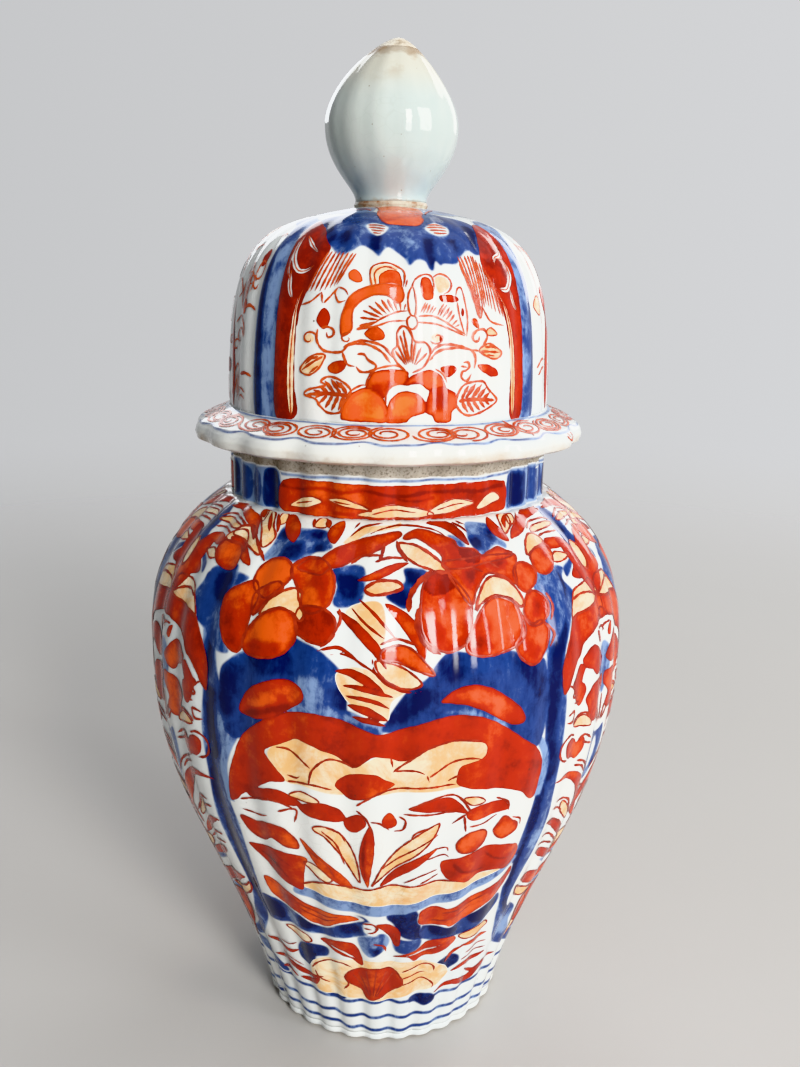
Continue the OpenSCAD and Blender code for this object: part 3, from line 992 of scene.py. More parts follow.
def paint_panel_wings(p):
    """Cobalt clouds and a pair of red wings above the lozenge."""
    p.paint("""
    fill cobalt tone=0.85: 2,64 4,65.5 9,65 11,62 12,57 13,53 14,49 10,49.5 6,52 4,57 2,60;
    fill cobalt tone=0.8: -8,60 -5,61 -3,59 -3,56 -5,55 -8,57;
    fill cobalt tone=0.6: 14,57 20,55.5 27,56 33,60.5 37,62 38.5,58 37,53 33,49.5 27,47 20,47 14,48.5 12,53;
    fill cobalt tone=0.5: -40,50 -36,49 -30,50 -24,49 -18,49 -12,49.5 -8,50 -4,52 -3,55 -8,58 -13,57.5 -19,55
      -25,58.5 -33,61 -38,60;
    shade cobalt tone=1: 28,57 33,59 36.5,60 37,56 35,52.5 31,51.5 28,54 / 15,55.5 21,54 25,50 21,49 16,51 /
      -38,58 -32,59 -30,55 -33,51.5 -38,52 / -26,56 -20,54 -21,51 -26,51 / -11,57 -7,56.5 -6,53 -9,51.5
      -12,53;
    shade cobalt tone=0.1 soft=2: -29,58 -26,57 -27,51 -30,51;
    fill cobalt tone=0.25: -7,50 -3,52 1,53 3,49 1,44 -3,41 -6,44;
    fill cobalt tone=0.45: 4,50 8,49.5 13,49 13,45 9,42.5 5,44;
    shade cobalt tone=0.9: -3,45 0,45 0,42 -2,41.5;
    fill cobalt tone=0.1: -24,68.4 -20,66.4 -14,64 -7,62.4 0,61.6 6,62 9,63.4 15,65.6 22,66.4 28,69.4 33,72.6
      37,75.4 38,78.4 31,76.5 26,74 21,72 14,71.5 8,68.8 0,67.8 -7,69 -14,71 -21,73;
    fill cream: -21,71.4 -14,69.2 -7,67.4 0,66.8 8,67.4 14,69.6 20,70.6 26,72.6 30,74.8 33,76.4 20,75.5
      14,76.5 8,75.4 2,76 -3,74.2 -8,74.5 -14,75.5 -21,73;
    line: 0.6 -21,72.5 -14,75.5 -8,74.5 -3,74.2 2,76 8,75.4 14,76.5 20,75.5;
    cut cobalt: 11,61.6 14,65 20,64.4 30,68.6 36,73.6 38,74 37.8,64 31,58.4 26,55.2 22,52.8 18,54.6 12,56.5 /
      -4.5,59.6 -10,61.8 -15,62.4 -20,63.6 -24,67 -28,69.4 -33,72 -33.5,63 -30,59.2 -25,57 -21,53.6 -17,53
      -12,56.2 -8,57.2;
    fill red tone=0.25: 11,61 12,64 16,64.5 20,62.7 25,65 30,67.7 35,70.5 37.5,74 38,70 36,63 30,58.6 27,55.5
      22,53.5 19,55 12,56.7 / -33,71 -28,68.5 -24,66 -20,62.5 -15,61.5 -10,61 -6,59.5 -8,58 -12,57 -17,53.8
      -21,54.5 -25,58 -30,60 -33,64;
    line: 0.5 15,58 21,57.5 27,61 / 18,61 24,61.5 31,66 / -13,58.5 -18,57 -24,61 / -12,60 -18,59.5 -27,65.5;
    fill cream edge=0.45: 27,46.5 31,48.5 36,49.5 38,47 33,44.5 29,44.5 / -32,48.5 -25,48 -23,45 -26,43.5
      -30,45.5;
    fill red: -1,57.5 1,58 4,56.5 6,54 6.5,50 6,46.5 4.5,47 3,51 1,54.5;
    cut cobalt: -4.6,58 -1.2,58.4 0.2,54.6 -1.6,51.8 -4.6,53.4;
    line: 0.6 -5,57.6 -2.4,58 -0.8,56.2 -1.6,54 -3.6,53.2 / -4.6,55.6 -2.4,55.4 / -2,48 1,47 2,44""")


def paint_panel_leaves(p):
    """A tuft of long leaves between two rocks."""
    p.paint("""
    fill red tone=0.5: -34,84.5 -30,85 -26,85.5 -22,85 -18,84 -19,80 -20,75 -21,70 -24,71 -28,74 -31,79
      -33,82;
    fill red: 15,84.5 19,85.5 25,87.5 30,87 35,85 37,82 37,78 35,75.2 30,76.5 26,76 23,74 20,75 17,77 15,81;
    brush red tone=0.95: 1 -31,82 -27,79 -24,74 / 0.8 -27,84 -23,80 / 1 18,83 21,79 27,78 / 0.8 26,85.5 29,82
      34,80;
    fill cream edge=0.4: -19,82 -16,82.5 -12,78 -13,76 -15,77;
    line: 0.45 -18,81 -15,76 / 6,77 10,80 14,81.5 / 10,76.5 14.5,79.5 / 13,90 15.5,90 16,88.5 / 11,86.5
      15,87.3 16.5,86 / 0,83 7,90 13,95.5 / -13,96.5 -10,92 -8.5,84 / -17,88 -13,84 -11,78;
    brush cream belly=0.35 edge=0.45: 4.2 -15,97 -11,95.5 -7.5,88 -5,77;
    brush cream belly=0.65 edge=0.45: 5.2 -2,76 2,84 8,92 13,99.5;
    brush red belly=0.4: 4 -7,73.5 -11,79 -15,85 -19,92;
    brush red tone=0.3 belly=0.55: 4 -3,75 -3.3,85 -2,100;
    brush red tone=0.9: 1.1 -3.4,78 -4,86 -3,97;
    brush red belly=0.45: 3.4 0,76 4,81 9,86 13.5,90.5""")


def paint_panel_frame(p):
    """The heart-shaped red frame, with the scrollwork inside it and the branches and clouds below."""
    p.paint("""
    fill cream: -24,119 -20.5,111 -16,110.5 -9,109 -2,109.5 6,110.5 16,110.5 19,113 23,119 22,123 14,125
      5,121 0,121.5 -5,119 -12,123 -18,124.5;
    fill red tone=0.5: -36,100 -35,108 -33,115 -31,121 -27,126 -22,130 -16,132 -10,131.5 -4,129 0,127.5
      6,129.5 12,131.5 18,131.5 22,130 27,126 31,122 35,118 37.5,113 37.5,106 37,101.5 35,101.6 31.5,105.6
      26,108 20,109.7 16.5,111.3 16,114 17,117.2 21,118.8 22,120.6 21,123.4 14,124.4 10,123.2 5,119.7
      1.5,120.6 -1.6,121 -5.4,117.6 -9,120.5 -12,122 -17,124 -20,122.5 -24.5,119.5 -23,116 -20.5,111 -24,110
      -28,106.5 -32,103 -34,100.5;
    fill red tone=0.4: -9.5,112 -8,114.5 -5,116 -1,116 1,114.5 3,112.7 0,110.5 -3,108.5 -6,107.7 -8,109.5;
    line: 0.5 -20,111 -14,111.5 -10,110.5 / -5,106 -2,109 2,111.3 8,111.8 16,111.7 / -15,111.5 -14,116
      -11,119.5 -8,119 -5.5,117.5 / -22,121 -19,120.5 -14.5,116.5 / -20,113 -18,112.5 -17,113.2 / 2.5,116.5
      6,120 10,123.5 16,124.6 21,124 / 10,115 14,118 18,119.3 21,118.7 / 3,116.7 7,117 9,116 / 9.5,115.5
      10,113.5 / 14,113 17,114.7 / 2,121 2.5,118 / -23,100.5 -20,102 -18.5,101.5 -19.5,97.5 / -33,101 -24,104
      -19,102 / 4,102.5 5.5,101 5,98 3,97.5 / -5,104.5 -3,102 -1.5,97 / -2,101 0,100.5 2,98 / 5,103.3 11,103
      17,102.8 / 19,102 16,98.7 / 18.5,101 19.3,95.5 / 6,105 10,107.5 14,108.5 17,107.5 20,102 / 26,105
      29,103 29.5,100 / -12,98 -9,96 -8,93 / 11,98.5 8,97 7,95;
    fill red: -31,105 -28,106.5 -23,108 -19,106 -17,104 -20,103 -25,104 -30,102.5 / -18,103.5 -15,105.5
      -12,106 -9,104.5 -7.5,101.5 -9,100 -14,100.5 -17,101.5 / -8,100 -6,102.5 -4,103 -3,100 -5,97 -7,97 /
      2,104 3.5,101.5 3.5,99.5 2,98.5 0.5,99.5 0.5,102 / 6,105 9,107 13,108 16,107 18,104.5 19,102 15,103
      9,104 / 19.5,103 22,104 25,104 28,103.5 29.5,100.5 26,99.5 21,99 19,100.5;
    fill cream edge=0.4: -20,106.5 -17,108.5 -14,107.5 -13,106 -16,105.5 / 18,107 21,107 23,105 20,104.5;
    fill red tone=0.6,0.2 edge=0.4: -34,94 -33,95 -30,94 -27,95 -23,95 -21,93 -19.5,90 -20,87.5 -23,88 -26,90
      -29,87.7 -32,89 / 18,92 20,94.5 23,95 25,93.5 25,90 23,87.5 20,87 18,89 / 27,93 28,96 29,98 31,96 33,94
      33,91.5 31,90 29,89.8;
    line: 0.45 31,97 33.5,95.5 34,93 / -33,97.5 -29,97 -26,98 / 20,97 24,97.3 27,99""")


def paint_panel_fan(p):
    """Hills round a fan of blades, above the frame."""
    p.paint("""
    fill cobalt tone=0.52: -36,127 -36,138 -34,142 -30,145.5 -25,147 -20,151 -17,150.5 -13,149 -9.5,145.5
      -7.4,142 -6.8,137 -6.6,133 -4,131 -1,129 0,127 -8,129 -16,130.5 -22,128.5 -27,125 -30,121 -34,121;
    fill cobalt tone=0.6: 0.6,128 1.2,131.5 3.4,136 6,140 9,142.4 11,146 14,148.5 20,147.8 26,147.6 30,146
      33,143.4 37,142 38,128 36,119 33,119 30,122 26,126.5 20,130 12,130 6,128;
    shade cobalt tone=0.95 soft=1.6: -28,146 -22,149 -18.6,146 -20,141.4 -27,140.6 / -10.4,139 -7,138.6
      -6.4,133 -9,132.6 / 1.4,130 2,133.6 5,138 8,140 10,137 6,131.5 / 28,146 33,142.6 36,138 35,133 31.6,137
      / -35,140 -31,141 -31.6,133 -33,127 -36,128 / 12,146.5 17,147.4 17,142 13,141;
    shade cobalt tone=0.2 soft=1.4: -26,129.6 -20,133.6 -14,134.4 -8,133 -3,130.4 -8,130 -15,131.6 -22,129.8
      / 13,132.6 19,132.6 25,129 27,126 21,130.4 / -18,141 -13,141 -11,136 -14,134 -17,137;
    fill red tone=0.65,0.2: -31,128.5 -30,133 -27,137 -22,139.8 -18,139.5 -16,137.5 -16,135 -19,132 -23,129
      -27,127.8 / 12,136 15,138.5 19,139.7 23,138 27,134.5 30,131 31,127.5 29,126.5 26,128 22,131.5 18,134
      14,135;
    shade red tone=0 soft=1: -28,131.6 -25,135 -20,138 -19,136.4 -22.6,133.4 -26,131 / 15,137 19,138 24,135.4
      27.6,131 23,134 18,135.6;
    shade red tone=0.8 soft=1: -30,129 -28,128 -22,130.4 -18,132.6 -20,133.4 -25,131.4;
    fill cream: -9,143 -5,145 0,143.5 2,141 5,139 2,136 1,131 -4,133 -8,138 / -8,158 -6,160.6 -1.6,162
      0.4,159.5 0.6,153 -1,150 -5,154;
    brush red tone=0.75,0.35: 2.6 -9.5,143.8 -5,143 -1,140 1,137.5 / 1.6 -8,140 -3,139.5 2.5,137.3 / 1.3
      -7.5,137.3 -2,136.6 2,134.2 / 2.4 -7,135 -3,133.8 1.5,131 / 1.6 -6,132 -2,131 1,129.8 / 1 -13.5,148.5
      -9,149.6 -4,146 / 0.7 -12,147.3 -8,148 -3,145.3 3,140 8,138.3 / 0.8 -7,160 -3,155.6 1,152 / 1
      -5.5,162.5 -2,159 3,152 / 3 -10,159 -5,154.4 -1,149.4 1,144.6 / 3.8 0.4,161.4 5,156.6 7.6,151.6
      8.6,146.6 / 0.7 -1.6,149 -1.7,145.4 0,142 4,138.8 8,139;
    fill cream edge=0.5: -1,147 -0.6,144 1.8,141 5,139.4 8,140.8 6,143.6 3,145.6;
    fill red tone=0.6,0.2 edge=0.5: 0,149.5 3,150.6 6,149.8 8.5,146.8 10.6,143 7,144.4 3,146.4 0,147;
    line: 0.6 -0.4,151 3,152.2 7.4,150.6""")
    paint_peonies(p)
    p.paint("""
    fill cobalt tone=0.42: -12.4,169 -11,170.7 -5,171.2 -4,166 -5,161 -9,159.6 -11,161 -10.6,165.5 / 0.6,163
      2,165 5,167 5,170.6 9,170.8 10.6,169 8,165.6 6.4,162.6 5,159.8 3,160.6 / -50,152 -47,160 -46,163.5
      -40,165.5 -33,164.5 -37,160 -38.5,155 -36,148 -34,144 -39,144 -44,149 / 38,164 41,166 46,166 46,158
      42,149 37,144 35,143 37.6,150 39.6,155 39.6,160;
    shade cobalt tone=1: -10.6,168 -6,168 -6,163 -9,162 / 1,163 4.6,164.6 5.6,161.6 3.6,160.6 / 6,169.8
      8.6,169.6 8,166.6 6,166.8 / -43,163 -38,164 -38,157 -42,157;
    fill cream edge=0.7: -4,165 -1,167.3 3,167 4.5,165.5 3,164.4 -2,163.5;
    brush red tone=0.7,0.35: 2.6 -6,167 -2,168.6 2,170.6 6.4,172.4""")


def paint_peonies(p):
    """The two big peonies at the top of a main panel, petal over petal."""
    p.paint("""
    fill red tone=0.6,0.4 edge=0.5: -38,157 -37.5,152 -35.5,147 -33,144.8 -31.5,145 -30.5,149 -30,155 -29,160
      -31,163.8 -34,162.5 -37,160;
    fill red tone=0.45,0.05 edge=0.5: -31,162 -31.5,167 -29,170.5 -25,171.6 -22.5,169.5 -22,166 -24,163
      -27,160;
    fill red tone=0.5,0.15 edge=0.5: -22.6,169 -20,172.3 -15,172.5 -12,169 -11,165 -12,160 -16,157.6
      -18.6,160 -20,164;
    fill red tone=0.9,0.75 edge=0.5: -18.6,158.4 -14,159.6 -10.4,157.4 -10,153 -12,150.3 -16,151 -18.6,153;
    fill red tone=0.6,0.1 edge=0.5: -31,148 -30,145.2 -27,144.6 -22,145.8 -19,149 -18.2,153 -20,157 -23,158
      -27,155.5 -29.5,152;
    fill red tone=0.45,0.25 edge=0.5: -30.4,160 -29.6,155 -28,156.4 -26,160 -23,162.8 -24.6,165 -28,163;
    fill red tone=0.65,0.35 edge=0.5: 8.5,163 8,157 9,152 12,149 15,148.5 18,151 19,155 19.5,161 17.5,166
      15,169.3 11.5,169 9.3,166.5;
    fill red tone=0.5,0.25 edge=0.5: 17,165 15.6,169 16,172.4 34.6,172.6 33.4,168 32,164 29,167 25,167.5
      21.5,164 19.5,160;
    fill red tone=0.55,0.1 edge=0.5: 32,165 33,168.5 36,169.6 39,168 39.3,165 37.5,162.5 34.5,161.3
      32.8,162.5;
    fill red tone=0.6,0.15 edge=0.5: 31.5,155 34,153 37,153 38.6,150 37.5,146 35,143 32.5,142.4 30,144.5
      29,148 30.5,151;
    fill red tone=0.6,0.1 edge=0.5: 32.5,158 34,160.6 36.5,161.2 39,159.5 39.8,156.5 38.6,153.5 36,152 33,153
      32,156;
    fill red tone=0.65,0.2 edge=0.5: 17.6,150.6 19.6,155 22,159 25.5,161 29,160.3 31,157 31.8,152 30,148.6
      26,146.8 21,146.8 18,148;
    fill red tone=0.95,0.85: 9,166 11,169.4 14.6,169.8 17,166 14,163.4 11,163.6;
    inlay cream edge=0.6: -27.5,155.5 -26,159.5 -23,162.5 -20.5,163.6 -18.6,162.5 -18.2,159 -17,157 -18,155.3
      -20,157.2 -23,158.2 -26,156.5 / 20.4,158.6 21.8,162.4 24,165.5 27,166.8 30,165.5 32,162 32.6,159
      31.5,158 29.5,160.5 25.5,161.6 22,160.2;
    line: 1 5.6,159 6.2,163.4 8.6,167.4 11.6,170 / 8.2,160.4 7.2,156 8.8,151 12,148.2 / 0.6 40,160 40.8,156.4
      39.6,152.6 / 38,152 39.8,149 38.4,145.6 / -9.4,159.4 -9,156 -11,151.4 -12.6,149.6 / 22,170 24.4,168.4 /
      27,171 29,169;
    shade red tone=0.75 soft=1.6: -30,146.4 -26,145.4 -22,147 -23,149 -28,148.6;
    shade red tone=0 soft=1.6: -27,150 -23,152.6 -21.6,156 -24,156 -27,153;
    shade red tone=0.7 soft=1.6: -36,149 -33.6,146.6 -33,150 -35.4,157 -37,156;
    shade red tone=0.75 soft=1.6: -18,152 -12,151.4 -11,156 -14,158 -17.6,156.6 / -14,169 -12.4,165 -13,160
      -15,163 -16.4,167 / 9.4,152 12,150 13,154 11,159 9,158;
    shade red tone=0 soft=1.6: 13.6,152 16.4,152 17.4,158 16,162 14,158;
    shade red tone=0.75 soft=1.6: 19,149.6 22,147.6 24,149 21.4,152 20,153;
    shade red tone=0 soft=1.6: 24,150 28,150 29.6,154 27,157 24.4,154.6;
    shade red tone=0.7 soft=1.6: 31,146 34,143.6 36,146 33.6,148 31.4,149 / 34,154.6 37,154 38.4,157 36,159;
    shade red tone=0.8 soft=1.6: 20,164 24,168.4 30,169.4 31,171.4 24,171 19,168""")


def paint_shoulder(p):
    """Leaves and cobalt patches round the root of the neck."""
    p.paint("""
    fill cobalt tone=0.3: -32,170 -31,175 -30.8,181 -26,181.5 -20,181.8 -15.5,181 -14.5,178 -13.5,176.5
      -15,175 -18,174 -21,171 -25,171 -29,170.5 / 18,180.5 21,179.5 22,176.5 20,175.5 / 25,184 28,184.3
      32,183 32.5,179 34.5,176 33.5,174.5 31,176 28,174 26.5,171.5 25,174 23.5,178 24,181;
    shade cobalt tone=1: -30.4,180 -27.6,180 -27.6,177.6 -30.4,177.6 / -26,176 -22,176.6 -22,172.4 -27,171.4
      / -20.6,181 -17.6,181 -17.6,178.4 -20.6,178.4 / -18.6,177 -16,177 -16,174.6 -18.6,174.8 / 24,178.8
      27,179 26.6,175.4 24,176 / 30,181.4 32,181 32,178 30,178""")
    # blades that fan out from the corners
    p.paint("""
    brush red tone=0.75,0.4: 3.2 -47,184.6 -42,180.6 -37.4,175.2 / 3.6 -46,174.6 -40,172 -34,167.6 / 2
      -43,185.4 -40,182.6 / 1.4 -38.6,185.4 -36,182 -34,178.6 / 1.2 -35.4,185.4 -33,182 -31.6,178.6 / 4
      33.4,185.6 33.6,181 36.4,176 / 3.4 37.4,176.6 42,180 47,183 50,184.4 / 1.3 37.6,180 39,183 41,185.4 /
      1.2 41.4,180.6 44,183 46.4,185.2 / 5 -31.5,185.6 -28,182 -24.6,176.6 / 4.2 -12.2,185.6 -14,181
      -13.2,177.4 / 1 -22,185.4 -21,182 / 2 -17.6,185.4 -16.4,182.4 / 3.2 12.4,185 18,184.2 21.2,181
      23.2,176.6 / 0.8 20,185.4 23,183 24.4,180.8 / 0.7 22,185.4 24.8,183.4 / 0.8 -9.8,179.6 -6,183.6 0,185.4
      / 0.7 -9,182.6 -7.4,185 / 0.8 -5,180.6 0,183.4 8,184.4 15,182.2 18,179.2;
    fill cream edge=0.5: -46,175.6 -45,178.4 -41,178.6 -36,175.4 -33,171.2 -37,172.8 -42,174.6;
    fill cream edge=0.45: -41.6,183 -40.6,185.4 -36.6,185.4 -34,181 -31.4,177 -33.4,173.6 -37,179;
    fill cream edge=0.35: -33,181.6 -34,185.4 -31.8,185.4 -31,182.4;
    fill cream edge=0.45: 36.6,178.6 37.2,182.6 38.6,185.4 41.4,185.4 40.4,181.6;
    fill cream edge=0.4: -21,182.4 -20.4,185.4 -18,185.4 -17.4,182.4;
    fill cream: -11,178 -8,182 -4,184 3,184.6 5,185.4 4,183.4 -4,181.8 -8,178.5;
    fill red tone=0.65,0.3 edge=0.4: -21,169 -19,172 -16,172.6 -13,175.8 -9,178 -3,180.6 4,182 4.5,180.3
      1,178 -2,175.8 -6,173.5 -10,171 -13,170 -15,168;
    fill red tone=0.6,0.25 edge=0.4: 5.5,180.3 8,182.5 11,182.9 15,181 19,179 20,176.5 24,175.5 26,173 28,174
      31,175.3 33,174 34,172 16,170 15,174 12,177.5 9,180 6,179.5;
    fill red tone=0.95,0.8: 20,175.8 22,175.9 25,173.4 24,171.4 20.6,172.4;
    fill cream edge=0.6: 4,178 6,178.2 9,177.5 12,175 15,171 16,169.3 14,169 11,170.5 8,172 5,175;
    line: 0.7 -1,173 -0.3,175.5 0,178.5 / -2,172.6 1,173.8 5,173.5 / 3.5,179 4,176 6,172.5 / -8,171.5
      -5,174.3 0,174.6 / -46,178 -42,179.2 -37,176.2 -33,172 -31,169.5 / 7,178.4 10,176.6 14.5,172""")


SIDE_MIDDLE = 60.5          # angle of the line in the middle of the narrow panel


def paint_side_half(p):
    """Half of the narrow panel between two main ones: a climbing stem, buds, florets and long leaves."""
    p.paint("""
    fill red tone=0.6,0.3: 45,64 50,64.5 55,62 61,58 61,53 58,54.5 54,57 50,59 47,62;
    fill cream edge=0.55: 44,62 46,60 49,58 53,56 56,55 52,53 48,55 45,58;
    fill red tone=0.7,0.25 edge=0.4: 53.4,51 56,52.4 59,51 61,48 61,38 58,34.5 56,38 54,44;
    line: 0.5 53.5,51.5 57,51.8 61,50;
    brush cobalt tone=0.15: 1.8 53,52.8 57,53.4 61,51.6;
    brush red tone=0.6,0.3 belly=0.3: 3.4 47.5,75 52,71.5 58,67.5 64,64;
    brush cobalt tone=0.2: 2 52,68.5 58,65 61,63;
    fill cream edge=0.4: 56.6,74.6 61,73 61,66.5 58.6,69 56.4,71.6;
    brush red tone=0.6,0.3 belly=0.6: 4.4 42,103.2 47,103.2 51,101.8 55,97.5 58,91.5 61,85 64,79;
    brush red tone=0.6,0.3: 3.2 46,87 50,84.8 54,80.5 57.5,75.5;
    fill cream edge=0.4: 50,93 52,91.5 55,87 56,83.5 53.5,85.5 50.5,89.5;
    line: 0.6 45,87.3 48.5,87 52,84.5 55,80 / 46,81.5 50,80.5 53,77.5 56,74.5 / 46,78 50,77 54,74.5 / 47,94.2
      50,94.2 52.5,92.5 54.5,88.5 57,84.5 / 46,92.2 49,91.2 51,89.3 / 51,107 54,105.4 57,102 59,98 /
      50.4,105.6 53.6,104 56,100.8;
    fill red tone=0.75,0.4: 50.5,139.5 52,141 54,141.5 56,140 58.5,137 59.5,135 58,133 55.5,132 54,133
      53,134.5 51,135.5 49.5,138 / 46,134 48,137 49,137.5 50.5,136 50,134 49.5,132 50.5,131 51,129 50,126
      48.5,125 47,127 46,130 45,132.5 / 52,128 54,130 58,130.5 60,130 60,127 58.5,125 57.5,123 58.5,120
      57,118 54.5,118 53,120 52,123 51,126 / 44.8,115 46.5,116 48.5,115 49.5,113.5 51,115 52.5,113 52,110
      50,108 48.5,109 46.5,109.5 45,111.5;
    fill cream edge=0.45: 47,120 50,121.8 53,120 54,117.3 50,118.5 48,119;
    line: 0.6 48,116.3 46,117.4 44,116.7 42.7,115 42.6,112.5 43.8,110.3 46,109.2 / 44,133 46,131 45.5,129
      48,128.5 / 46.3,126.7 48.5,126.6 / 50,114.2 52,115 54,113.7 55.5,112.3 / 51.5,113 54,111.5 56,110.5 /
      46.5,120.3 48,121.8 51,122.3 53.5,120.3 / 57,145 60,144.6 61,143 / 44,124 46.6,124.4 46,121.6 43.6,122;
    fill red: 56,144.5 57.5,144 58.5,141.5 57,141""")
    # the sweeping leaf and the shoulder
    p.paint("""
    fill red tone=0.7,0.4 edge=0.4: 42,131.5 41.5,138 42.5,142 45,148 47,151 52,152 58,153 61.4,154.6
      61.4,147.4 58,147 53,145 50,143 48.5,140 47,139 45,136 43.5,132.5;
    fill red tone=0.7,0.4: 61.4,154 60.6,157 58,159.5 54,160.5 51.5,162 54,165 58,167.4 61.4,169 66,174
      68,172 66,160;
    fill cream edge=0.5: 46.5,150.5 49,156 51,158.5 56,159.5 59,159 61,154.5 57,152.5 50,151.5;
    line: 0.6 49,155.5 52,156.7 56,156 60,153.6;
    fill cobalt tone=0.55: 50,162 54,165.5 58,168.5 62,172 64,176 64,181 61.5,184.6 59,182.6 58,178 57,172
      54,167.5 50,165;
    shade cobalt tone=1: 59,177 62,180 62,176 60,174;
    fill cream edge=0.5: 39.5,171 41,175 44,177.5 47,176.5 48.5,174 46,173 42,172.5;
    fill red tone=0.5,0.1 edge=0.4: 40,170.5 43,173 48,173 49,170 47,167 43,165 40,166;
    fill red tone=0.6,0.2: 48,172.5 50,174.5 55,174 57,172 53,170.8 49,171;
    fill cream edge=0.45: 47.5,167.7 50,169.8 53,168.9 54,168 50,166.7;
    brush red tone=0.6,0.3: 3 38,177 43,180 48,183 54,184.2 60,183.6;
    fill cream edge=0.45: 46,178.3 50,179.5 55,179.8 58.5,178.3 53,177.8 48,177.2;
    fill cream edge=0.4: 40,181.5 41,185 43.5,185 42.5,182.5;
    line: 0.55 45,179 49,180.8 55,181.2 59,179.4 / 48,175.5 52,176.3 57,175.8 / 49,185 54,185.2 58,185""")


def paint_side(p):
    """The narrow panel: both halves, and what stands on its middle line."""
    for mirror in (None, SIDE_MIDDLE):
        p.mirror = mirror
        paint_side_half(p)
    p.mirror = None
    p.paint("""
    fill cream edge=0.4: 60.6,47 63,44 64,38 62,31 60.4,28.5 58.6,31 57,38 58,44;
    fill cream edge=0.45: 60.6,171 62.6,168 62.4,164 60.6,161.4 58.8,164 58.6,168;
    cut red: 60.6,170.4 62,168 61.8,164 60.6,162.2 59.4,164 59.2,168;
    fill cobalt tone=0.2: 57.6,137 60.6,140 63.6,137 63.8,131 62,126 60.6,124 59,126 57.4,131;
    fill cobalt tone=0.35: 57.4,113 59.6,112 61.6,112 63.6,113 64.4,106 62.6,98 60.6,95 58.6,98 56.6,106;
    cut cobalt: 60.6,110 61.8,106 60.6,99 59.4,106;
    hatch count=5 width=0.6: 57,119 60.6,121 64,119 / 59.4,115 60.6,115.4 61.8,115;
    line: 0.6 60.6,124 60.6,118 / 58,90 60.6,93 63,90 / 60.6,47 60.6,30 / 58.6,41 60.6,36 62.6,41 / 57.6,147
      60.6,150 63.6,147""")


def paint_jar():
    p = Picture(jar, (-61, 84), (0, jar.length), FINE_GRID, pen=1.3)
    for part in (paint_bands, paint_panel_foot, paint_panel_wings, paint_panel_leaves, paint_panel_frame,
                 paint_panel_fan, paint_shoulder, paint_side):
        part(p)
    p.build("body", "jar", TURNS)


def paint_neck():
    """A red band with cream leaves between cobalt blocks, three times round."""
    p = Picture(neck, (-56, 84), (0, neck.length), 0.35)
    p.paint("""
    fill cobalt tone=0: 44.6,0.6 50,0.2 60,0.3 70,0.2 82,0.5 83.4,3 83.4,9 81,11.6 70,11.3 58,11.4 46,11.2
      44,8 44,3""")
    for block, tone in (("44.5,1 49,0.8 54.5,1.4 55.5,5 55,9.5 51,11 46,10.8 44,7", 0.6),
                        ("57,2 62,1.2 66,2 66.5,8 64,10.6 58.5,10.4 57,6", 0.45),
                        ("68,1.5 72,0.9 73.6,4 73.4,9 70,11 67.5,8", 0.5),
                        ("75,1 79,0.6 82.6,1.6 83,7 81,11.2 76,11 74.6,6", 0.9)):
        p.fill("cobalt", block)
        p.shade("cobalt", block, tone, soft=0.6)
    p.paint("""
    shade cobalt tone=1: 47,2 53,2 53,9 47,9.5 / 75,2 82,2 82,9.5 76,10;
    brush cobalt tone=0.25 belly=0: 0.7 -56,10.6 -45,10.9 -30,10.5 -14,11 2,10.6 18,10.9 34,10.4 48,11.2
      64,10.8;
    fill red: -37,1 -30,0.2 -10,0.1 10,0.1 30,0.2 42,0.6 44,3 43.5,7.5 40,9.3 20,9.7 0,9.4 -20,9.8 -34,9.4
      -37.5,6;
    inlay cream edge=0.45: -19,4.8 -14,5.6 -10,4.6 -4,2.4 -12,3.2 / -8,0.8 -5,2.6 0,4 6,4 12,3 15,1 / 14,1.2
      17,3.8 22,5.4 27,4.8 30,3.8 24,2.2 / -33,2 -29,4.5 -24,5.4 -21,4 -27,2 / 31,2.2 34,5 39,6 41,4 36,2.4;
    brush red tone=0.95 belly=0: 0.8 -36,7.5 -30,6.9 -22,7.8 -15,7.1 -6,7.8 4,6.4 12,7.4 22,7.6 32,7 42,7.8 /
      0.6 -17,1.4 -10,1.2 / 16,6 10,5.2 4,5.6;
    line: 0.45 -17,4.6 -11,4 / -4,1.6 2,2.8 10,2.2 / 17,2.6 22,3.8 27,3.8 / -31,2.8 -24,4.2""")
    p.build("neck", "jar", TURNS, 0.2)


paint_jar()
paint_neck()

# ---------------------------------------------------------------- what is painted on the lid

SPIRALS = 32


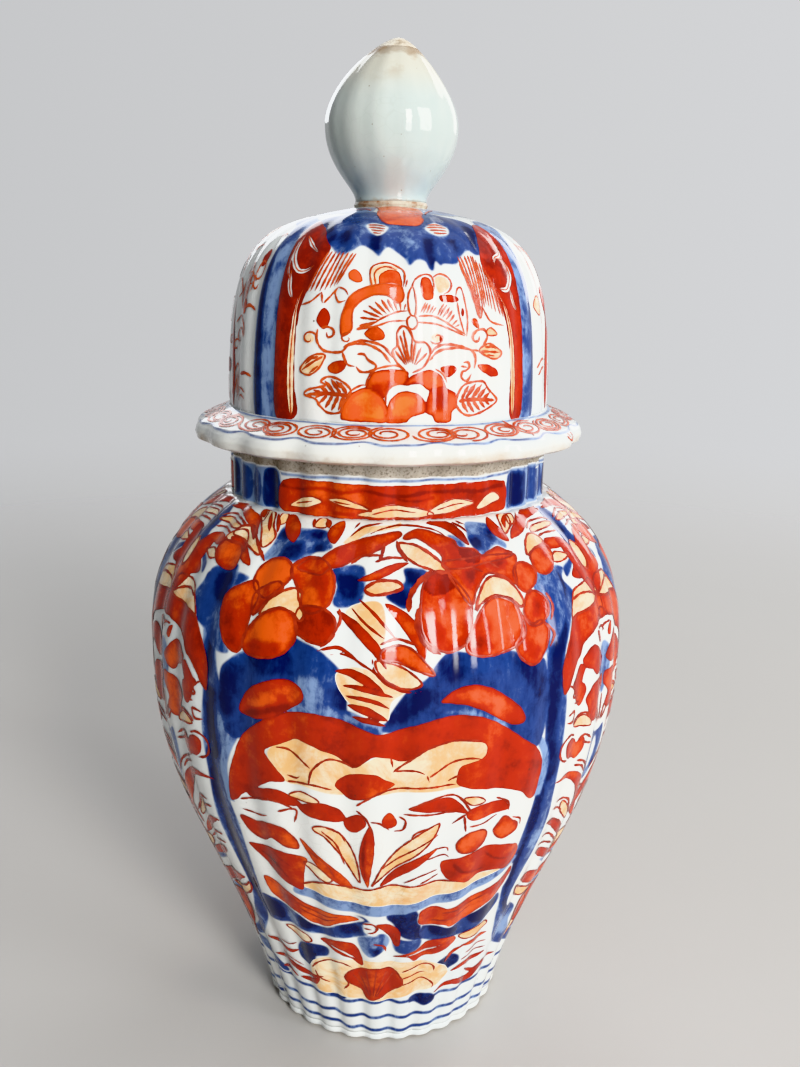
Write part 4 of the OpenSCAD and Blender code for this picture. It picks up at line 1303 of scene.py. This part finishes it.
def paint_flange():
    """A row of red spirals between blue lines."""
    p = Picture(flange, (-180, 180), (0, flange.length), 0.5, ink="fine")
    for k in range(SPIRALS):
        angle = 2 + 360 * (k - SPIRALS // 2) / SPIRALS + 0.5 * math.sin(k * 2.3)
        s = 12.1 + 0.25 * math.sin(k * 1.7)
        p.spiral([(angle, s), (6.3, 3.6)], 2.6 + 0.5 * math.sin(k * 3.1), width=0.72, start=k * 1.3,
                 drift=2.2 * math.sin(k * 2.7))
    rim, top = [], []
    steps = SCALLOPS * 4
    for k in range(steps + 1):
        angle = FIRST_SCALLOP - 180 + 360 * k / steps
        notch = max(0, math.cos(math.radians(SCALLOPS * (angle - FIRST_SCALLOP))))
        rim.append((angle, 7.3 + 0.9 * notch ** 4 + 0.15 * math.sin(k * 1.9)))
        top.append((angle, flange.length - 0.75 + 0.2 * math.sin(k * 0.8)))
    p.brush("cobalt", rim, 0.75, tone=0.45, belly=0)
    p.brush("cobalt", top, 0.9, tone=0.2, belly=0)
    # a brush line that strayed over the border, and a few strokes near the lip
    p.paint("""
    line: 0.9 40.5,17 41,14.6 43.6,11.6 45,9.2 44.6,8 / 0.5 60,5.8 63,4.2 65.6,5.6 / 63.4,6.6 66.6,4.4 /
      61,6.6 62.4,5.2""")
    p.build("flange", "lid")


def paint_dome_frame(p):
    """The cobalt and brown-red bands round a panel of the dome, and the cobalt collar over it."""
    p.paint("""
    fill cobalt tone=0.1: -50,0.5 -50.5,20 -50,35 -49,44 -48,50 -50,54 -56,57 -62,60 -52,63 -44,60 -38.6,56
      -38.4,35 -38,18 -37.8,0.5;
    shade cobalt tone=0.95 soft=0.9: -49.5,1 -46.2,1 -46.2,20 -46.6,36 -46.8,43 -48.2,46 -49,40 -49.8,20;
    shade cobalt tone=0.35 soft=1.6: -49,46 -46,45 -44,52 -48,57 -54,60 -52,57;
    fill cobalt tone=0.25: 52,0.5 52,14 52.5,30 53.5,42 55,50 60,56 70,59.5 72,62 62,61.5 53,60 50,55 58.5,46
      59.5,38 59,20 58,0.5;
    fill cobalt tone=0.3: 50,0.5 50.6,30 51.4,44 51.6,52 57,55 62,57 68,58.5 66,56.5 61.5,51 59.5,42 59.5,30
      58.5,14 58.5,0.5;
    shade cobalt tone=0.7: 56.5,1 58.4,1 59,20 59.3,36 58,36 57.3,18;
    shade cobalt tone=1: 57.5,43 60.5,42 60,39.5 57.8,40;
    fill cobalt tone=0.45: -22,46 -19.5,44.2 -17,43.5 -13,45 -10,46.5 -6,45 -3.3,43.3 -1.7,45 0,46 3,44.5
      5.8,42.7 7.5,40.8 10,42.3 13,42 14.5,39.8 16,39.6 17,42 18.5,40.9 20,41.4 25,41.5 28,44 31,45.5 34,44.2
      38,45 42,50 46,56 42,61 34,64 28,66.5 20,66 10,65 0,65 -8,66 -14,68.5 -22,67 -31,63 -38,59 -34,54.6
      -29,50.6 -25,47""")
    # pale wash round the crown
    p.paint("""
    fill cobalt tone=0.14: -64,66.6 -52,65 -40,66.4 -30,66 -20,66.6 -13,69.4 -14.6,73 -18,76 -40,75.4
      -64,75.6 / 31,75.6 28,71 24,67.6 34,66.2 46,65.2 60,66.8 74,65 90,66.4 106,65 120,66.6 134,65.4
      134,75.6 90,75.2 50,75.8;
    shade cobalt tone=0.6 soft=1.4: -60,70 -50,71.4 -40,70 -44,68.4 -54,68.6 / 44,70 56,71.6 66,70 56,68.4 /
      80,70 94,71.4 104,69.6 92,68.4 / 114,70.4 124,71.4 130,69.6 122,68.6;
    shade cobalt tone=1: -7.5,50 -3,50 -2.5,46 -5,44.8 -7,46.5 / 13.2,49 17.5,49 17,42 15.5,40.2 14.3,42 /
      -31,58 -27,56 -22,50 -24,48 -28,52 / 34,47 37,47 41,53 38,56 35,52 / -19,52 -15,50 -17,47 -20,48 /
      24,49 28,49 27,45 24,46;
    shade cobalt tone=0.36 soft=2: -2,46 3,46 8,44 12,46 10,53 2,54 / 19,43 24,43 25,47 20,48 / -13,47 -9,48
      -10,55 -13,52;
    cut cobalt: -10.4,55 -8.3,56.3 -5,56 -0.4,54.1 -1.7,51.4 -4.2,50.2 -6.7,51 -9.2,53.2 / 16.3,54 20,56.4
      23.3,57.3 26.3,55.5 27.5,54 25.8,51.4 20.8,50.5 17.5,51.8;
    line: 0.75 -9.5,55.1 -5,55 -1.5,54.2 / -9,53.9 -5,53.6 -1.5,53 / -7.6,52.6 -4.5,52.2 -1.8,52 / -6.5,51.4
      -4,51 -3,51.2 / 18,55.4 22,56 26,55.2 / 17,54.2 22,54.5 26.6,54.1 / 17.8,52.9 22,53 26,52.7 / 19,51.7
      22,51.5 25.5,51.7;
    fill red tone=-0.1: -13,76 -9,70.5 -6.5,62.5 -2.3,56.5 4.5,55.2 13,55 17.5,58 20,63 25.5,68 29,75 8,78.4;
    line: 0.6 -22.5,77 -15,75 -9.2,71 -8,66 -5,60.5 / 24,65 28,67.5 36,70.5 46,72.5 / -36,70 -26,72 -19,71
      -15,69""")
    # brown-red bands with cream scrolls left open in them
    p.paint("""
    fill red tone=0.75: -39,1 -39.4,20 -39.6,40 -40,52 -39,57 -36,57.4 -33,55.5 -28,52.3 -25,48.6 -21.8,45.2
      -24.5,40 -27.5,34 -30,29 -31,20 -31,10 -30.4,1;
    fill red tone=0.65: 44.2,1 44,15 43,24 41,30 37.5,36 35.5,42 37.5,46.5 40,51 44,55.8 48,57.4 51,56.5
      52,50 51.6,38 51.2,20 50.6,1""")
    for width, scroll in (
            (1.6, "-36.5,51 -36.8,44 -33.5,39.4 -30,39 -26.8,40.4"), (1.1, "-34.6,50 -30,46.2 -26.5,44.4"),
            (1.4, "-35.8,39 -35,34.5 -33.4,31.5"), (1.4, "48.6,49.5 47,45 42.8,43.6 41.6,41.5"),
            (1.8, "49,42 48.6,38 45,34.8 41,35"), (1.3, "47,35.4 47.8,31.5 49.5,29"),
            (0.9, "43,43.4 47.6,42.6 49,38"), (0.8, "-38,46 -37.6,40 -35.6,36.4")):
        p.wipe("red", scroll, width)
        p.line(scroll, 0.35)
    for side in ("-32.2,1 -32.6,12 -32.2,22 -31.4,30 -29.6,34", "45.7,1 45.4,13 44.6,23 42.6,30 40,34"):
        p.wipe("red", side, 1.7, belly=0.3)
        p.brush("cream", side, 1.9, belly=0.3)
        p.line(side, 0.4)


def paint_dome_panel(p):
    """Fans and a butterfly over curling stems and a peony."""
    p.paint("""
    hatch count=8 width=0.62: -22,44.6 -17,44.4 -11.5,44 / -27.5,33.6 -22,33.8 -17,35.5;
    hatch count=6 width=0.5: 26,43.5 29.5,44 32,44 / 31.3,27.5 31.5,28.5 33.5,30;
    hatch count=7 width=0.5: 32,43.5 35.5,41 38,38 / 33.5,31 37,29.5 41.5,27.5;
    line: 0.6 -29.6,30 -25.7,31 -22.1,33.4 / -22.1,33.4 -21.6,30.6 / -21.1,30.6 -17.9,33.4 -16.2,34.8 /
      -16.4,34.7 -17.4,33.4 -16,31 -13.6,31.4 / -16.2,34.8 -14,34.2 -12.8,32.8 / 32.6,30 35.7,26.5 41.4,25.2
      / 26,41.6 28.5,35 31.3,27.2 32.6,31;
    fill red: -21.1,29.5 -18.6,27 -20.4,24 -23.2,26.1""")
    # butterfly
    p.paint("""
    fill red tone=0.12 edge=0.45: -14.3,22.5 -14.8,26 -13.9,29.3 -12.1,32.5 -9,34.3 -5.7,35.2 0,36 4.3,35.4
      5.4,33 4.8,31.4 3.2,31 0,32.8 -4.3,32.9 -7.9,31.6 -10.6,29.6 -11.2,27 -11,24.5 -12.4,23;
    fill cream: -5.4,36 -5.5,39.2 -3.6,40.6 0,40.9 3.2,39.8 2,38 -2.6,38.4 -3.4,35.8;
    fill red tone=0.2: -2.9,37.8 0,39.5 3.2,39.2 4.6,37.5 4.4,34.7 0,34.7 -2.4,35.2;
    line: 0.55 -5,35 -5.9,38 -5.5,40 -3.4,41.1 0,41.4 3.2,40.4 5.4,39.2 5.7,37 5.2,35 / -3.8,35.6 -4.4,38.4
      -2.8,39.9 0,40.3 3,39.4 / -9.7,24.3 -4.7,25.6 -1.3,27.2 3.2,28.7 6.6,29 / -9.7,24 -3,25.2 1,26.3 6,26.5
      / 8,35.4 6.8,33 6.8,30 7.6,28 8.9,28 9.3,31 8.6,34.6 8,35.4 / 7.8,28 6.4,26.8 6.8,25 8.2,24.4 9.6,25.6
      9.2,27.4 7.8,28 / 9.8,27.7 14.4,27.8 17.7,26.8 21.5,24.9 26,23 / 9.7,26.2 16,25.7 20.4,24.4 25.6,22.7 /
      7.9,34.6 9,36.9 11.7,38.3 14.4,38.2 15.5,36.6 15.4,34 / 15.4,37.6 17.7,38.6 20.4,37.8 21.6,36 20.6,34.2
      18.6,33.4 / 22.8,33 23.8,34.9 25.4,34.8 26.3,31.4 26.9,27 26.4,22.6 / 23.2,31.4 24,27.2 25.8,22.8 /
      6.6,37 6,35;
    hatch count=10 width=0.7: -8.9,25 -8.6,27.4 -7.5,29.3 -5.2,30.6 -3,31.6 -0.7,31.9 1.5,31.7 3.8,31.3
      6,30.8 / -3.5,26.2 -2.4,27 -1.3,27.8 0.4,28.4 2.1,28.8 3.8,29 5.4,29.2;
    hatch count=5 width=0.6: 12.4,31.2 14,30.8 16,30 / 10.6,28.6 12.6,28.5 14.4,28.4;
    hatch count=7 width=0.7: 18.6,31 20.4,30 22,28.2 23.6,25.6 / 16.4,28 18,27.4 20,26.2 22,25;
    fill red tone=0.3,0.1: 11.2,37.4 13.6,37.6 15,36 15.2,32.4 12.6,31.8 11,33.6;
    fill red tone=0.5: 17.2,33 20,33.2 23.2,32.8 23.6,31.6 20,31.2 17.6,31.6;
    fill cream: 16,37.4 18,38 20.2,37.2 20.9,35.8 19.6,34.4 17,33.8;
    fill red: 25.1,30 25.8,29 25.2,27.4 24.6,28.6;
    fill red tone=0.2: -13.2,38.8 -11,39.6 -9,38 -8.5,36.3 -10.7,36.1 -13,37.2""")
    # curling stems
    p.paint("""
    line: 0.75 -22.5,24 -22.8,21.4 -21.4,19.3 -19.3,18.3 -14.3,18.4 -12.1,20.2 -8.6,21.3 -4.3,21 -0.7,19.8
      1.8,17.2 / -14,18.6 -12.4,15.4 -10,14.8 / -13.6,19.6 -11,20.4 -6,20.4 -1.5,18.6 1.2,15.8 / -9.3,17.9
      -7.1,17.9 -5.7,16.5 -3.2,15.2 -4.3,13.8 -7.9,13.4 -9.6,14.8 / -21.4,24.3 -19.3,24.6 -17.2,23.8
      -17.4,22.4 -19.2,22 -19.6,23.2 / 13.6,16.5 15.7,18.4 18.6,19.4 23.6,19.7 27.9,19 29.3,17 28.9,14.3 /
      13.8,18 15.4,19.6 17.9,20.5 21.4,20.5 26.5,19.6 / 25,15.9 26.8,15.9 27.2,14.7 26,13.8 24.6,13.5 24.3,12
      26.4,11.1 27.9,12.9 / 24,15 26.4,14.6 / 32.1,20.2 34,22.4 32.9,24.2 30.4,24.2 28.5,22.8 28.9,21.4
      30.4,21.4 30.8,22.6 / 30.7,24.6 29.8,26.4 / 30.5,18.8 28,19.2;
    spiral turns=0.95 width=0.5 start=1: -12.5,21.9 2.2,1.5;
    spiral turns=1 width=0.6: -25.4,21.5 2.9,1.9;
    fill cream: -27.4,21.5 -25.4,22.8 -23.6,21.5 -25.4,20.2;
    spiral turns=0.9 width=0.5 start=3.6: 16,22.2 2.5,1.6;
    fill cream: 14.2,22.4 16,23.4 17,22.2 15.8,21;
    fill red: 17,23 18.2,22.6 17.8,21.2 16.8,21.4;
    fill red tone=0.3: -18.9,14.5 -16.4,15.9 -12.9,16.1 -12.7,14.6 -15,12.9 -17.9,12.9 / -7.3,22.9 -5.7,24.4
      -3.6,25.2 -1.1,23.8 -0.7,22 -4,21.4 / 30,15.2 33.6,15.3 37.9,13.9 38.7,12.1 35,12.1 31.2,13.8 /
      17.1,14.7 20.7,15.3 22.5,14.3 21.4,12.9 18.9,12.2 / 28.2,26.3 28.9,27.2 30.4,26.8 30.8,24.8 29.4,25;
    fill cream edge=0.6: -20,17.5 -23.6,17.3 -27.1,15.2 -28.7,13.1 -25.4,12.1 -22.4,13.4 -20.6,15.6;
    line: 0.75 -20.6,17 -24.4,15.2 -28,13.2 / -22,17 -25.4,16 / -23.4,17 -26.6,14.9 / -22,14.6 -25,12.6;
    fill cream edge=0.6: 30.7,18.8 32.9,20.3 35.7,20.5 40,18.4 38.6,16.7 35,16.9;
    line: 0.75 31,18.7 35,18.5 39.4,18.2 / 32.8,19.8 36,19.6 / 34.6,20.2 38,19.2 / 33.6,17.7 37.4,17.3;
    fill cream edge=0.5: 33.8,24 35.7,24.7 37.8,23.8 38.4,22.8 34.4,22.8""")
    # central leaf, hatched
    p.paint("""
    line: 0.7 6.4,13.6 3.4,15.8 1.8,18.8 3.4,20.4 3.2,23.4 5,25.2 7.2,24 8.8,21.4 12.2,21 13.8,18.6 11.6,15
      8,13.4;
    hatch count=4 width=0.65: 2.6,19 3.6,22 5.2,24.2 / 6,15.4 6.6,15.6 7.2,16;
    hatch count=4 width=0.65: 8,22.4 9.8,20.8 12.6,18.4 / 7.6,16 8.4,15.6 9,15.4""")


def paint_dome_peony(p):
    """The orange peony at the foot of the dome's panel, between two veined leaves."""
    p.paint("""
    fill red tone=0.55,-0.5: -14.3,1.4 -13.9,4.2 -12.4,6.8 -10.4,8.2 -7,9.4 -4,9.2 -1.6,7.8 -0.2,5.6 0.4,3.2
      0.2,0.6 -4,0.5 -10,0.5 -13,0.8;
    fill red tone=0.6,-0.25: -6.2,9.4 -5.4,11.8 -3.6,13.6 0,14.2 4,14.2 6.8,13.6 6.6,11.4 5.6,10.2 3,10.1
      1.2,9.2 0,7.6 -1,7 -3,8.8;
    fill red tone=0.6,-0.3: 6.4,11.4 8,12.8 12,14 15,13.9 17.4,12.5 18.7,10.4 18.6,9 16,8.6 13.4,8.8 11,10.2
      8.8,10.5 6.6,10.1 5.6,10.4;
    fill red tone=0.55,-0.1: 12.6,3 12.6,5.4 13.6,8.6 16,9.4 19,9.4 21.6,8.4 23.4,6.8 23.2,4.6 21,3.2
      20.6,0.6 16,0.5 14.6,2.2;
    fill red tone=0.55,-0.5: 0,0.5 0.2,3.2 0.6,5.2 1.8,6.9 3.6,8.1 6,8.7 9,8.3 11.4,7 12.6,5 12,3 9,2.2 7,1.2
      6,0.5;
    shade red tone=0.5: -4.6,9 -4.6,10.6 -1,11.4 3,11 0,8.4 -2,7.8 / 15.4,8.4 18,8.6 19.4,6 18,3.4 15.6,4 /
      0.6,1.4 6,1.7 6,0.6 0,0.6;
    cut red: 0.1,5.4 0,7.4 1,9 3,10 5.2,10.1 6,9.2 4.6,8.7 2.8,8 1.2,6.6 / 6.2,9 7,9.8 9,10.3 11.4,9.9 13,8.6
      13.3,7.5 12.4,6.8 11,7.6 9,8.4 / 7.2,0.7 8,1.9 10,2.4 13,2.6 14.4,1.8 15,0.8 12,0.5;
    line: 0.6 -6.4,9.8 -5.6,12 -3.6,14 -0.4,14.9 3,15.2 5.6,14.4 / -12.4,7.2 -10.4,8.9 -7.8,10 -6.2,10 /
      15.4,14.4 18,13 19.2,10.8 / 0,5.2 -0.1,7.6 1,9.3 3,10.4 5.4,10.3""")
    for leaf in ("-11,8.4 -14.3,11.1 -18.6,11.9 -21.1,10.6 -19.6,9.6 -25,8.4 -26.9,7 -22.9,6 -21.4,4.3 "
                 "-18.6,2.5 -14.4,2.9 -13.6,5",
                 "22.9,7.5 25.7,10.2 31.8,10.9 34.3,8.8 38.4,5.6 33.6,3.4 27.1,2 22.9,4.3"):
        p.fill("red", leaf, tone=0.35, edge=0.7)
        p.cut("red", leaf)
    p.paint("""
    line: 1.2 -11.6,7.2 -18,7.5 -25.6,7.1 / -12.4,7.8 -14.4,10.6 / -14.2,7.6 -17.6,11.3 / -16.2,7.6
      -19.8,10.8 / -18.4,7.5 -21.4,9.4 / -20.8,7.4 -23.4,8.3 / -13.2,6.9 -15,3.4 / -15,7 -17.4,3.2 / -17,7.1
      -19.6,3.8 / -19,7.1 -21.4,5 / -21,7.1 -22.8,6.3 / -13.4,9 -15.8,10.9 / -13.4,6 -14.2,4.4 / 23.4,5.9
      30,6.2 37.4,5.6 / 24.4,6.4 27,9.8 / 26,6.4 29.4,10.3 / 28,6.4 31.6,10.1 / 30,6.4 33.4,9.2 / 32.2,6.2
      35,7.8 / 24.6,5.6 27,2.8 / 26.6,5.8 29,2.8 / 28.6,5.8 31,3.3 / 30.8,5.8 33,3.9 / 33,5.7 35,4.6""")


def paint_dome_side(p):
    """A prunus branch on the narrow panel of the dome."""
    p.paint("""
    brush red tone=0.7 belly=0.4: 2.2 74,0.5 73.4,8 74,17 75.4,25 76,31;
    brush red tone=0.75 belly=0.4: 2.4 112,0.5 112.6,10 111,20 109,29 107,35;
    fill red tone=0.6: 126.8,45.5 128.4,44 128,41.2 126,40.2 125,43 / 73,34 75.6,35.4 76.6,30 74.8,28 / 94,40
      97,42 100,40 97,37 / 84,22 87,24 90,22 87,19.4 / 119,30 121.4,31 121.6,27.4 119.6,27 / 97,12 101,14
      104,12 101,9.6;
    line: 0.6 109,37 112,36 114.6,33.2 112.6,31.4 / 111,45 114,47.2 117.6,46.4 / 117.4,38 121,38.6 124,36.2
      123,33 / 124.3,38 125.8,41.6 128.4,40.6 127.8,37.4 125.2,36.6 124.3,38 / 123.4,35.8 125.4,33.8
      127.2,35.2 / 116,38 119,41.4 121.4,38 120.6,32 118,28.4 115.6,31.4 115.6,36 / 118,39 118.4,34
      117.6,30.4 / 119.6,38 119.8,34 119,31 / 113.6,24.4 117,26.4 121,24.4 122.4,21 / 111.4,4 113.4,10.4
      116.8,13 118,8.4 115.4,3.4 / 113.4,5 115,8 115.8,11 / 115,4.6 116.4,7.6 116.6,10 / 127,50 130,51.4
      131.4,49.6 / 107,35 103,42 99,48 96,54 / 99,48 104,50 108,49 / 76,31 80,38 84,44 90,49 / 80,38 78,43
      74,47 70,49 / 66,44 67.4,39 69.6,34 70,32 / 68.6,28 69.6,25 / 66.6,46 65,49 / 84,30 89,32 93,30 /
      85,28.4 89,30.2 / 90,12 93,15 92,19 / 97,24 100,27 98,31 94,31 / 102,2 100,6 101,9 / 86,4 88,9 85,13
      81,14 / 62,13 66,15.4 70,14.8 / 63,11 66.6,13 69.4,12.6 / 116,4 120,6.6 124,5.4 / 117,2.6 120.6,4.6
      123.6,3.6 / 1 121,28.4 124,29.4 127.8,28 / 120.6,10.4 124,10.9 127.4,10.1;
    spiral turns=1 width=0.55: 122.6,36 2.6,1.8 / 118,20.6 3.6,2.8 / 114.6,18 2.6,2 / 92,36 3,2 / 83,50 3,2 /
      104,19 2.6,1.8 / 79,8 2.6,1.8;
    fill cream edge=0.45: 62,30 65,33 68,31 66,27.6 / 100,53 104,56 108,54 104,51""")


def paint_dome():
    p = Picture(dome, (-64, 134), (0, dome.length), FINE_GRID, pen=0.9, ink="fine")
    for part in (paint_dome_frame, paint_dome_panel, paint_dome_peony, paint_dome_side):
        part(p)
    p.build("dome", "lid", (0, 180), 0.25)


paint_flange()
paint_dome()

# ---------------------------------------------------------------- stage


def make_stage():
    """A pale floor, and a studio that is brighter behind the jar and on its right."""
    bpy.ops.mesh.primitive_plane_add(size=8)
    floor = bpy.context.object
    floor.name = "floor"
    dress(floor, floor_material())
    world = bpy.data.worlds.new("studio")
    world.use_nodes = True
    tree = world.node_tree
    where, split, total = (tree.nodes.new(f"ShaderNode{kind}")
                           for kind in ("TexCoord", "SeparateXYZ", "Math"))
    tree.links.new(where.outputs["Generated"], split.inputs[0])
    for k, (axis, low, high) in enumerate((("X", -0.19, 0.05), ("Y", 0.25, 0.74))):
        node = tree.nodes.new("ShaderNodeMapRange")
        for key, value in (("From Min", -0.9), ("From Max", 0.9), ("To Min", low), ("To Max", high)):
            node.inputs[key].default_value = value
        tree.links.new(split.outputs[axis], node.inputs["Value"])
        tree.links.new(node.outputs[0], total.inputs[k])
    background = tree.nodes["Background"]
    background.inputs["Color"].default_value = (0.97, 0.98, 1, 1)
    tree.links.new(total.outputs[0], background.inputs["Strength"])
    bpy.context.scene.world = world
    bpy.context.scene.view_settings.view_transform = "Khronos PBR Neutral"


LIGHTS_AIM = Vector((0, 0, 0.16))
DAYLIGHT = (1, 0.98, 0.95)
SKYLIGHT = (0.95, 0.97, 1)


def add_light(name, place, width, height, power, color):
    data = bpy.data.lights.new(name, "AREA")
    data.shape = "RECTANGLE"
    data.size, data.size_y = width, height
    data.energy = power
    data.color = color
    light = bpy.data.objects.new(name, data)
    light.location = place
    light.rotation_euler = (LIGHTS_AIM - Vector(place)).to_track_quat("-Z", "Y").to_euler()
    bpy.context.scene.collection.objects.link(light)


make_stage()
for light in (("window_right", (0.62, -1.16, 0.62), 0.32, 0.62, 22, DAYLIGHT),
              ("window_sill", (0.62, -1.16, 0.19), 0.32, 0.24, 3.2, DAYLIGHT),
              ("window_side", (1.3, -0.75, 0.6), 0.16, 1.0, 7.5, DAYLIGHT),
              ("ceiling", (0.4, -0.1, 1.5), 1.4, 1.4, 4.2, SKYLIGHT),
              ("back_left", (-0.45, 1.5, 1.0), 1.0, 1.0, 8, SKYLIGHT),
              ("back_right", (0.9, 1.1, 0.8), 0.6, 0.9, 7, (1, 0.98, 0.96))):
    add_light(*light)
